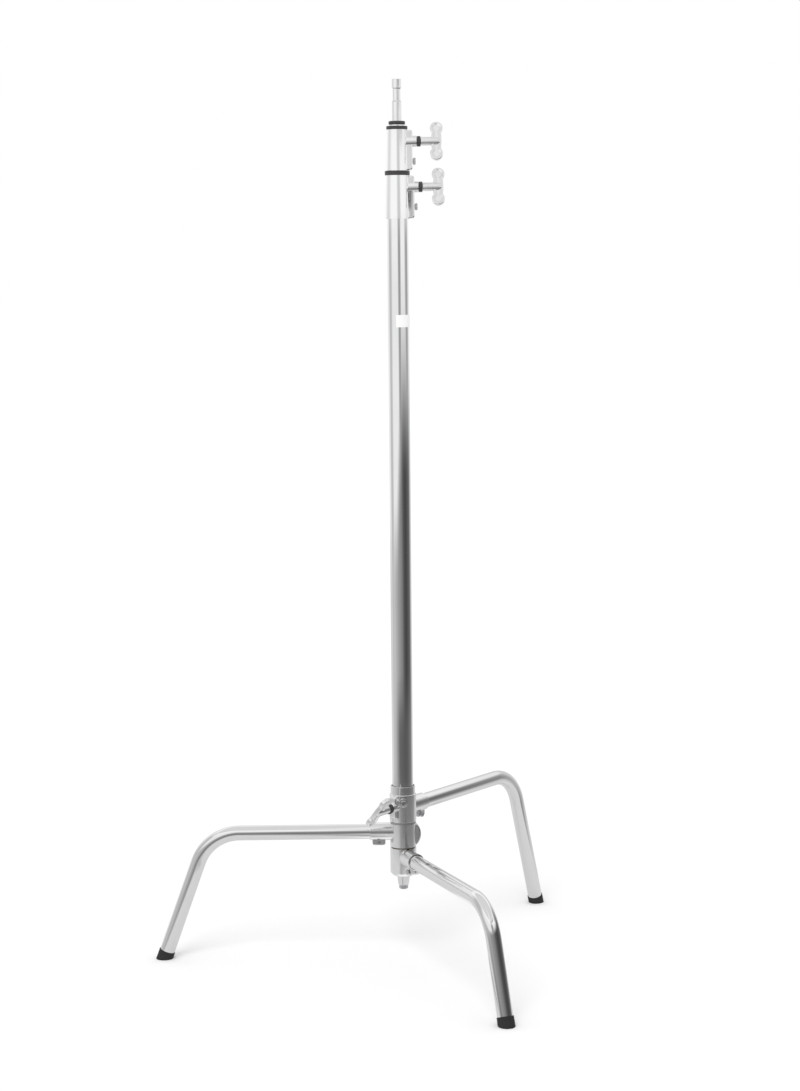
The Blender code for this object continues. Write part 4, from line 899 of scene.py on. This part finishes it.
def make_knob(prefix, clamped, face, height, azimuth, roll):
    """Pad, washer, screw and wing knob on one axis that points outward."""
    place = outward(height, azimuth, roll)
    pad_start = clamped + FIT
    pad_end = pad_start + PAD_LENGTH
    pad = rod(PAD_RADIUS, pad_start, pad_end, 0.0005, SCREW_SIDES)
    finish(lay(pad, place), prefix + "_brake_pad")
    washer_start = face + FIT
    washer_end = washer_start + WASHER_THICKNESS
    washer = pipe(WASHER_RADIUS, SCREW_RADIUS + FIT, washer_start, washer_end, 0.0009,
                  KNOB_SIDES)
    finish(lay(washer, place), prefix + "_knob_washer")
    hub_start = washer_end + FIT
    wing_start = hub_start + HUB_LENGTH
    wing_middle = wing_start + WING_LOBE_RADIUS
    nose = wing_middle + NOSE_LENGTH
    knob = wings(wing_start)
    hub = turned([(0.0, hub_start), (HUB_RADIUS, hub_start), (HUB_RADIUS, wing_middle),
                  (NOSE_RADIUS, nose), (0.0, nose)], 0.0009, sides=KNOB_SIDES)
    join(knob, hub)
    seat_end = hub_start + SCREW_SEAT
    cut(knob, rod(SCREW_RADIUS + FIT, 0.0, seat_end + FIT, sides=SCREW_SIDES))
    finish(lay(knob, place), prefix + "_wing_knob", KNOB_CHROME)
    screw = rod(SCREW_RADIUS, pad_end + FIT, seat_end, 0.0005, SCREW_SIDES)
    finish(lay(screw, place), prefix + "_knob_screw")


COLUMN_KNOB_ROLL = math.radians(-20.0)
RISER_KNOB_ROLL = math.radians(-16.0)
for prefix, clamped, roll in (("column", LOWER_RISER_RADIUS, COLUMN_KNOB_ROLL),
                              ("riser", UPPER_RISER_RADIUS, RISER_KNOB_ROLL)):
    washer_node = prefix + "_knob_washer"
    make_knob(prefix, clamped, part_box(washer_node)[0].x - FIT, mid_height(washer_node), 0.0,
              roll)

# %% [markdown]
# ## Legs
# Each leg is a 25 mm tube with one bend. It is made like the real one: a circle is pushed out
# along the level arm, swept round the bend, and pushed on down to the foot. Solidify gives it
# its 2 mm wall. The rubber foot is turned with a pocket for the tube, then cut level with the
# floor.

# %% Bend the legs
LEG_RADIUS = 0.0125
LEG_WALL = 0.002
FOOT_CIRCLE = 0.406
BEND_RADIUS = 0.074
SOCKET_DEPTH = 0.0285
SOLE = 0.010
FOOT_WALL = 0.0008
FOOT_LENGTH = 0.0145
FOOT_EDGE = 0.0006
SOLE_EDGE = 0.0003
GROOVE_DEPTH = 0.0003
GROOVE_HEIGHTS = (0.0095, 0.0125)
GROOVE_MOUTH, GROOVE_FLOOR = 0.0008, 0.0004
BEND_STEPS = 28
LEG_SIDES = 72
LEGS = {
    "bottom": (math.radians(-67.4), 0.342),
    "middle": (math.radians(180.7), 0.328),
    "sliding": (math.radians(53.2), 0.326),
}


def arm_height(leg):
    """The height of a leg's level arm."""
    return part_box(leg + "_leg_tube")[1].z - LEG_RADIUS


def leg_slope(leg):
    """How far a leg's lower run leans from level, and that run as a direction."""
    drop = Vector((FOOT_CIRCLE - LEGS[leg][1], -arm_height(leg)))
    return math.atan2(-drop.y, drop.x), drop.normalized()


def bend_leg(leg):
    """One leg tube, bent and walled."""
    azimuth, corner = LEGS[leg]
    level = arm_height(leg)
    turn, down = leg_slope(leg)
    bend_start = corner - BEND_RADIUS * math.tan(turn / 2)
    bpy.ops.mesh.primitive_circle_add(vertices=LEG_SIDES, radius=LEG_RADIUS,
                                      location=(SOCKET_DEPTH, 0.0, level),
                                      rotation=(0.0, math.pi / 2, 0.0))
    bpy.ops.object.transform_apply(location=True, rotation=True, scale=True)
    piece = bpy.context.object
    edit_all()
    extrude(bend_start - SOCKET_DEPTH, 0.0, 0.0)
    bpy.ops.mesh.spin(steps=BEND_STEPS, angle=turn, center=(bend_start, 0.0, level - BEND_RADIUS),
                      axis=(0.0, -1.0, 0.0))
    bend_end = Vector((bend_start + BEND_RADIUS * math.sin(turn),
                       level - BEND_RADIUS * (1.0 - math.cos(turn))))
    run = Vector((FOOT_CIRCLE, 0.0)) - down * SOLE - bend_end
    extrude(run.x, 0.0, run.y)
    close_skin(piece)
    apply_modifier(piece, "SOLIDIFY", thickness=LEG_WALL, offset=-1.0, use_rim=True)
    return lay(piece, Matrix.Rotation(azimuth, 4, "Z"))


def mould_foot(leg):
    """The rubber foot, in line with the tube and cut level with the floor."""
    azimuth = LEGS[leg][0]
    lean = math.pi / 2 - leg_slope(leg)[0]
    outer = LEG_RADIUS + FIT + FOOT_WALL
    pocket = LEG_RADIUS + FIT
    groove = outer - GROOVE_DEPTH
    below = outer * math.tan(lean) + FIT
    profile = [(0.0, -below), (outer, -below)]
    for middle in GROOVE_HEIGHTS:
        profile += [(outer, middle - GROOVE_MOUTH), (groove, middle - GROOVE_FLOOR),
                    (groove, middle + GROOVE_FLOOR), (outer, middle + GROOVE_MOUTH)]
    profile += [(outer, FOOT_LENGTH), (pocket, FOOT_LENGTH), (pocket, SOLE - FIT),
                (0.0, SOLE - FIT)]
    piece = turned(profile, FOOT_EDGE)
    edit_all()
    bpy.ops.mesh.bisect(plane_co=(0.0, 0.0, 0.0), plane_no=(math.sin(lean), 0.0, math.cos(lean)),
                        use_fill=True, clear_inner=True)
    close_skin(piece, SOLE_EDGE)
    stand = Matrix.Rotation(azimuth, 4, "Z") @ Matrix.Translation((FOOT_CIRCLE, 0.0, 0.0))
    return lay(piece, stand @ Matrix.Rotation(-lean, 4, "Y"))


for leg in LEGS:
    leg_chrome = chrome("chrome_" + leg + "_leg", turn=LEGS[leg][0], stretch=(2.0, 60.0, 60.0))
    finish(bend_leg(leg), leg + "_leg_tube", leg_chrome)
    finish(mould_foot(leg), leg + "_leg_foot")

# %% [markdown]
# ## Hub
# Each leg is held in a casting: a barrel round the spindle, a socket for the tube and, under the
# socket, a lug with a slit and a bolt that pinches it. The bottom one is pinned to the spindle.
# The middle one turns on it, and the fin on its back is its stop. The sliding one rides on the
# column on a split liner, with a knob and a drag screw.
# All are barrels with the same arm, which one function adds and another bores.

# %% Define the arm
SOCKET_WALL = 0.0020
SOCKET_RADIUS = LEG_RADIUS + FIT + SOCKET_WALL
SOCKET_REACH = 0.056
SOCKET_EDGE = 0.0010
LUG_DROP = 0.0075
LUG_LENGTH = 0.022
LUG_WIDTH = 0.015
LUG_SETBACK = 0.004
LUG_EDGE = 0.0008
LUG_ROUND_STEPS = 6
SLIT_WIDTH = 0.002
PINCH_RADIUS = 0.0025
PINCH_HEAD_WIDTH = 0.008
PINCH_HEAD_HEIGHT = 0.0035
PINCH_SHANK_OVERLAP = 0.001


def lug_bolt_place(level):
    """Where the pinch bolt sits, in a leg pointing along +X: its axis runs across the leg."""
    reach = SOCKET_REACH - LUG_SETBACK - LUG_LENGTH / 2
    return (Matrix.Translation((reach, 0.0, level - SOCKET_RADIUS - LUG_DROP / 2))
            @ Matrix.Rotation(math.pi / 2, 4, "X"))


def add_arm(piece, level, root):
    """Join a socket and its lug, which point along +X, to a bracket."""
    socket = rod(SOCKET_RADIUS, root, SOCKET_REACH, SOCKET_EDGE)
    join(piece, lay(socket, outward(level)))
    end = SOCKET_REACH - LUG_SETBACK
    bottom = level - SOCKET_RADIUS - LUG_DROP
    corner = LUG_DROP / 2
    outline = ([(end - LUG_LENGTH, level)]
               + arc((end - LUG_LENGTH + corner, bottom + corner), corner, math.pi,
                     math.pi * 3 / 2, LUG_ROUND_STEPS)
               + arc((end - corner, bottom + corner), corner, math.pi * 3 / 2, math.tau,
                     LUG_ROUND_STEPS)
               + [(end, level)])
    join(piece, plate(outline, LUG_WIDTH, LUG_EDGE))


def bore_arm(piece, level):
    """Bore the socket, slit its underside and drill the lug for its bolt."""
    bore = rod(LEG_RADIUS + FIT, SOCKET_DEPTH - FIT, SOCKET_REACH * 2)
    cut(piece, lay(bore, outward(level)))
    bottom = level - SOCKET_RADIUS - LUG_DROP - SLIT_WIDTH
    start = SOCKET_REACH - LUG_SETBACK - LUG_LENGTH - SLIT_WIDTH
    far = SOCKET_REACH + SLIT_WIDTH
    slit = plate([(start, bottom), (far, bottom), (far, level), (start, level)], SLIT_WIDTH)
    cut(piece, slit)
    drill = rod(PINCH_RADIUS + FIT, -LUG_WIDTH, LUG_WIDTH, sides=BOLT_SIDES)
    cut(piece, lay(drill, lug_bolt_place(level)))


def pinch_bolt(leg):
    """The bolt that closes a socket's slit on its leg."""
    half = LUG_WIDTH / 2
    head_end = half + FIT + PINCH_HEAD_HEIGHT
    bolt = hexagon(PINCH_HEAD_WIDTH, half + FIT, head_end, 0.0007)
    join(bolt, rod(PINCH_RADIUS, -half - SLIT_WIDTH, half + PINCH_SHANK_OVERLAP, 0.0004,
                   BOLT_SIDES))
    spot = Matrix.Rotation(LEGS[leg][0], 4, "Z") @ lug_bolt_place(arm_height(leg))
    finish(lay(bolt, spot), leg + "_leg_bolt")


def barrel(radius, bottom, top, low_taper):
    """A bracket's round body, tapered below."""
    return turned([(0.0, bottom), (radius - low_taper, bottom), (radius, bottom + low_taper),
                   (radius, top), (0.0, top)])


print("arm ready, its socket reaches", SOCKET_REACH, "m")

# %% [markdown]
# The bottom bracket closes the hub from below: it has a floor for the stud, a tapered skirt and a
# cross pin that fixes it to the spindle.

# %% Cast the bottom bracket
BRACKET_RADIUS = 0.022
BOTTOM_TAPER = 0.0055
BRACKET_EDGE = 0.0014
SHAFT_RADIUS = 0.012
BRACKET_FLOOR = 0.006

bottom = size_of("bottom_bracket")[1]
level = arm_height("bottom")
top = level + SOCKET_RADIUS + FIT
bracket = barrel(BRACKET_RADIUS, bottom, top, BOTTOM_TAPER)
break_edges(bracket, BRACKET_EDGE)
add_arm(bracket, level, SHAFT_RADIUS)
hub_floor = bottom + BRACKET_FLOOR
cut(bracket, rod(SHAFT_RADIUS + FIT, hub_floor, top * 2))
cut(bracket, rod(STUD_RADIUS + FIT, 0.0, top))
bore_arm(bracket, level)
pin_height = mid_height("bottom_bracket_pin")
cross_drill(bracket, CROSS_PIN_RADIUS + FIT, pin_height, math.pi, 0.0)
finish(lay(bracket, Matrix.Rotation(LEGS["bottom"][0], 4, "Z")), "bottom_bracket", HUB_CHROME)
bracket_pin = rod(CROSS_PIN_RADIUS, SHAFT_RADIUS / 2 + FIT, BRACKET_RADIUS - FIT, 0.0005,
                  BOLT_SIDES)
pin_place = outward(pin_height, LEGS["bottom"][0] + math.pi)
finish(lay(bracket_pin, pin_place), "bottom_bracket_pin")

# %% [markdown]
# The middle bracket turns between the bottom one and the spindle's flange. The fin on its back is
# a plate with one edge drawn as a shallow arc.

# %% Cast the middle bracket
FIN_REACH = 0.030
FIN_WIDTH = 0.011
FIN_EDGE = 0.0016
FIN_STEPS = 24

bottom = size_of("middle_bracket")[1]
level = arm_height("middle")
top = level + SOCKET_RADIUS + FIT
bracket = break_edges(barrel(BRACKET_RADIUS, bottom, top, BRACKET_EDGE / 10), BRACKET_EDGE)
half = (top - bottom) / 2 - BRACKET_EDGE
bulge = FIN_REACH - BRACKET_RADIUS
fin_radius = (half * half + bulge * bulge) / (2 * bulge)
sweep = math.asin(half / fin_radius)
fin_middle = (top + bottom) / 2
fin = plate([(-SHAFT_RADIUS, fin_middle + half)]
            + arc((fin_radius - FIN_REACH, fin_middle), fin_radius, math.pi - sweep,
                  math.pi + sweep, FIN_STEPS)
            + [(-SHAFT_RADIUS, fin_middle - half)], FIN_WIDTH, FIN_EDGE, 4)
join(bracket, fin)
add_arm(bracket, level, SHAFT_RADIUS)
cut(bracket, rod(SHAFT_RADIUS + FIT, bottom - BRACKET_FLOOR, top * 2))
bore_arm(bracket, level)
finish(lay(bracket, Matrix.Rotation(LEGS["middle"][0], 4, "Z")), "middle_bracket", HUB_CHROME)

# %% [markdown]
# The sliding collar is the tallest casting. Its neck is thinner than its barrel, its rib and knob
# point away from the leg, and a low boss in front takes the drag screw.

# %% Cast the sliding collar
LINER_WALL = 0.001
BARREL_WALL = 0.0032
NECK_WALL = 0.0015
NECK_HEIGHT = 0.0140
SLIDING_EDGE = 0.0011
SLIDING_RIB_HEIGHT = 0.040
SLIDING_KNOB_ROLL = math.radians(-40.0)
DRAG_AZIMUTH = math.radians(-88.0)
DRAG_BOSS_RADIUS = 0.0075
DRAG_BOSS_REACH = 0.003
DRAG_DRILL_REACH = 0.05

liner_bottom, liner_top = size_of("sliding_liner")[1:]
sliding_azimuth = LEGS["sliding"][0]
level = arm_height("sliding")
liner_outer = COLUMN_RADIUS + FIT + LINER_WALL
bore_radius = liner_outer + FIT
barrel_radius = bore_radius + BARREL_WALL
shoulder = liner_top - NECK_HEIGHT
collar = turned(stepped(liner_bottom, (barrel_radius, shoulder),
                        (bore_radius + NECK_WALL, liner_top)), SLIDING_EDGE)
knob_height = mid_height("sliding_knob_washer")
sliding_face = add_knob_seat(collar, COLUMN_RADIUS, barrel_radius + RIB_REACH,
                             knob_height - SLIDING_RIB_HEIGHT / 2, shoulder - FIT, knob_height,
                             math.pi)
drag_place = outward(mid_height("sliding_drag_screw"), DRAG_AZIMUTH - sliding_azimuth)
drag_face = barrel_radius + DRAG_BOSS_REACH
drag_boss = rod(DRAG_BOSS_RADIUS, COLUMN_RADIUS, drag_face, 0.0008, KNOB_SIDES)
join(collar, lay(drag_boss, drag_place))
add_arm(collar, level, COLUMN_RADIUS)
cut(collar, rod(bore_radius, liner_bottom - OVERCUT, liner_top + OVERCUT))
bore_knob_seat(collar, liner_outer, sliding_face, knob_height, math.pi)
drag_drill = rod(BOLT_RADIUS + FIT, 0.0, DRAG_DRILL_REACH, sides=BOLT_SIDES)
cut(collar, lay(drag_drill, drag_place))
bore_arm(collar, level)
finish(lay(collar, Matrix.Rotation(sliding_azimuth, 4, "Z")), "sliding_collar", HUB_CHROME)

# %% [markdown]
# A split nylon liner grips the column inside the collar: a thin pipe, slit by a plate. The knob is
# the same as on the collars above, and each of the three sockets gets its pinch bolt.

# %% Fit the liner, the knob and the pinch bolts
LINER_SLIT = 0.003

liner = pipe(liner_outer, COLUMN_RADIUS + FIT, liner_bottom, liner_top, 0.0002)
low, high = liner_bottom - OVERCUT, liner_top + OVERCUT
slit_box = plate([(0.0, low), (CUT_REACH, low), (CUT_REACH, high), (0.0, high)], LINER_SLIT)
finish(cut(liner, slit_box), "sliding_liner")
make_knob("sliding", liner_outer, sliding_face, knob_height, sliding_azimuth + math.pi,
          SLIDING_KNOB_ROLL)
for leg in LEGS:
    pinch_bolt(leg)

# %% [markdown]
# The drag screw sets how tightly the liner grips the column. Its round head has a domed edge and a
# hexagon socket, which is cut with a six-sided bar.

# %% Turn the drag screw
DRAG_HEAD_RADIUS = 0.005
DRAG_HEAD_HEIGHT = 0.0032
DRAG_HEAD_ROUND = 0.0015
HEX_KEY_CORNER = 0.004 / 2 / math.cos(math.pi / 6)
HEX_KEY_DEPTH = 0.0018

head_start = drag_face + FIT
head_end = head_start + DRAG_HEAD_HEIGHT
drag_screw = turned([(0.0, liner_outer + FIT), (BOLT_RADIUS, liner_outer + FIT),
                     (BOLT_RADIUS, head_start), (DRAG_HEAD_RADIUS, head_start)]
                    + arc((DRAG_HEAD_RADIUS - DRAG_HEAD_ROUND, head_end - DRAG_HEAD_ROUND),
                          DRAG_HEAD_ROUND, 0.0, math.pi / 2, 6) + [(0.0, head_end)],
                    sides=KNOB_SIDES)
key_hole = rod(HEX_KEY_CORNER, head_end - HEX_KEY_DEPTH, head_end + OVERCUT, sides=6)
cut(drag_screw, key_hole)
finish(lay(drag_screw, outward(mid_height("sliding_drag_screw"), DRAG_AZIMUTH)),
       "sliding_drag_screw")

# %% [markdown]
# ## Spindle and washer
# The spindle plugs the column's lower end and carries the legs on its shaft. A thin bronze washer
# lies between the bottom and the middle bracket.

# %% Turn the spindle and the washer
SPINDLE_FLANGE = 0.0025

flange_reach, spindle_bottom, spindle_top = size_of("column_spindle")
flange_top = COLUMN_BOTTOM - FIT
flange_bottom = flange_top - SPINDLE_FLANGE
plug_radius = COLUMN_RADIUS - TUBE_WALL - FIT
spindle = turned(stepped(spindle_bottom, (STUD_RADIUS, hub_floor + FIT),
                         (SHAFT_RADIUS, flange_bottom), (flange_reach, flange_top),
                         (plug_radius, spindle_top)), 0.0005)
cross_drill(spindle, CROSS_PIN_RADIUS + FIT, column_pin_height)
cross_drill(spindle, CROSS_PIN_RADIUS + FIT, pin_height, LEGS["bottom"][0] + math.pi,
            SHAFT_RADIUS / 2)
finish(spindle, "column_spindle")

washer_reach, washer_bottom, washer_top = size_of("thrust_washer")
finish(pipe(washer_reach, SHAFT_RADIUS + FIT, washer_bottom, washer_top, 0.0002),
       "thrust_washer")

# %% [markdown]
# ## Cup and spring
# A spring in the tapered cup at the spindle's foot presses the brackets together, so that a swung
# leg stays where it is put. The Screw modifier winds a small circle up into the spring.

# %% Turn the cup and wind the spring
CUP_FLOOR = 0.002
CUP_LOW_RADIUS = 0.0088
SPRING_WIRE = 0.0018
SPRING_TURNS = 3.5

cup_radius, cup_bottom, cup_top = size_of("spring_cup")
pocket_radius = CUP_LOW_RADIUS - SPRING_WIRE / 2
cup = turned([(STUD_RADIUS + FIT, cup_bottom), (CUP_LOW_RADIUS, cup_bottom),
              (cup_radius, cup_top), (pocket_radius, cup_top),
              (pocket_radius, cup_bottom + CUP_FLOOR),
              (STUD_RADIUS + FIT, cup_bottom + CUP_FLOOR)], 0.0006, True)
finish(cup, "spring_cup", HUB_CHROME)

coil_radius = pocket_radius - FIT - SPRING_WIRE / 2
coil_low = cup_bottom + CUP_FLOOR + FIT + SPRING_WIRE / 2
coil_high = cup_top - SPRING_WIRE / 2
bpy.ops.mesh.primitive_circle_add(vertices=14, radius=SPRING_WIRE / 2,
                                  location=(coil_radius, 0.0, coil_low),
                                  rotation=(math.pi / 2, 0.0, 0.0))
spring = bpy.context.object
bpy.ops.object.transform_apply(location=True, rotation=True, scale=True)
apply_modifier(spring, "SCREW", angle=SPRING_TURNS * math.tau,
               screw_offset=coil_high - coil_low, steps=112, render_steps=112,
               use_merge_vertices=False, merge_threshold=WELD)
edit_all()
bpy.ops.mesh.fill_holes(sides=0)
close_skin(spring)
finish(spring, "hub_spring")

# %% [markdown]
# ## Pistons of the air cushion
# A piston with a rubber seal closes each riser's foot. Air leaks slowly through its fine hole, so a
# riser whose knob is loosened sinks gently instead of dropping its lamp. These pieces are turned too.

# %% Turn the pistons, plugs and seals
PISTON_HEIGHT = 0.012
SEAL_HEIGHT = 0.004
SEAL_GROOVE = 0.0018
PLUG_HEIGHT = 0.020
PISTON_SCREW_RADIUS = 0.003
PISTON_HEAD_RADIUS = 0.005
PISTON_HEAD_HEIGHT = 0.0035
BLEED_RADIUS = 0.0008


def make_piston(prefix, bore_radius):
    """A grooved piston head with its seal and screw."""
    bottom = size_of(prefix + "_piston")[1]
    head = bore_radius - FIT * 2
    groove = head - SEAL_GROOVE
    seal_low = bottom + (PISTON_HEIGHT - SEAL_HEIGHT) / 2
    seal_high = seal_low + SEAL_HEIGHT
    head_bore = PISTON_HEAD_RADIUS + FIT
    pocket = bottom + PISTON_HEAD_HEIGHT + FIT
    top = bottom + PISTON_HEIGHT
    thread = PISTON_SCREW_RADIUS + FIT
    piston = turned(stepped(bottom, (head, seal_low), (groove, seal_high), (head, top),
                            (thread, pocket), inner=head_bore), 0.0003, True)
    bleed = rod(BLEED_RADIUS, bottom - OVERCUT, top + OVERCUT, sides=24)
    bleed_place = Matrix.Translation(((head_bore + groove) / 2, 0.0, 0.0))
    finish(cut(piston, lay(bleed, bleed_place)), prefix + "_piston")
    seal = pipe(bore_radius - FIT, groove + FIT, seal_low + FIT, seal_high - FIT, 0.0007)
    finish(seal, prefix + "_piston_seal")
    screw_end = top + PLUG_HEIGHT - PISTON_SCREW_RADIUS * 2
    screw = turned(stepped(bottom, (PISTON_HEAD_RADIUS, bottom + PISTON_HEAD_HEIGHT),
                           (PISTON_SCREW_RADIUS, screw_end)), 0.0003, sides=SCREW_SIDES)
    key = rod(HEX_KEY_CORNER, bottom - OVERCUT, bottom + HEX_KEY_DEPTH, sides=6)
    finish(cut(screw, key), prefix + "_piston_screw")
    radius, plug_bottom, plug_top = size_of(prefix + "_riser_plug")
    hole_end = plug_bottom + PLUG_HEIGHT - PISTON_SCREW_RADIUS * 2 + FIT
    plug = stepped(hole_end, (thread, plug_bottom), (radius, plug_top))
    finish(turned(plug, 0.0003), prefix + "_riser_plug")


make_piston("lower", COLUMN_RADIUS - TUBE_WALL)
make_piston("upper", LOWER_RISER_RADIUS - TUBE_WALL)

# %% [markdown]
# ## Label
# A small label is stuck round the column below the collars. Here it is blank. A strip of the
# column's surface is made by spinning a short upright line, its four corners are rounded, and
# Solidify gives it the film's thickness.

# %% Stick the label on
LABEL_WIDTH = 0.035
LABEL_THICKNESS = 0.0004
LABEL_CORNER = 0.0025
LABEL_AZIMUTH = math.radians(-47.0)

label_bottom, label_top = size_of("column_label")[1:]
label_radius = COLUMN_RADIUS + FIT + LABEL_THICKNESS / 2
label_angle = LABEL_WIDTH / (COLUMN_RADIUS + FIT)
label = draw_line([(label_radius, label_bottom), (label_radius, label_top)])
bpy.ops.mesh.spin(steps=32, angle=label_angle, center=(0, 0, 0), axis=(0, 0, 1))
close_skin(label)
far_y = max(abs(vert.co.y) for vert in label.data.vertices)
for vert in label.data.vertices:
    vert.select = abs(vert.co.y) > far_y - WELD or abs(vert.co.y) < WELD
for face in label.data.polygons:
    face.select = False
for edge in label.data.edges:
    edge.select = False
bpy.ops.object.mode_set(mode="EDIT")
bpy.ops.mesh.bevel(offset=LABEL_CORNER, segments=5, affect="VERTICES")
close_skin(label)
apply_modifier(label, "SOLIDIFY", thickness=LABEL_THICKNESS, offset=0.0)
finish(lay(label, Matrix.Rotation(LABEL_AZIMUTH + label_angle / 2, 4, "Z")), "column_label")

# %% [markdown]
# ## Finish
# The finished pieces are counted, with their triangles.

# %% Count the pieces
shown = [part for part in bpy.data.objects if part.name.startswith("fine_")]
print("pieces:", len(shown), "triangles:",
      sum(len(face.vertices) - 2 for part in shown for face in part.data.polygons))
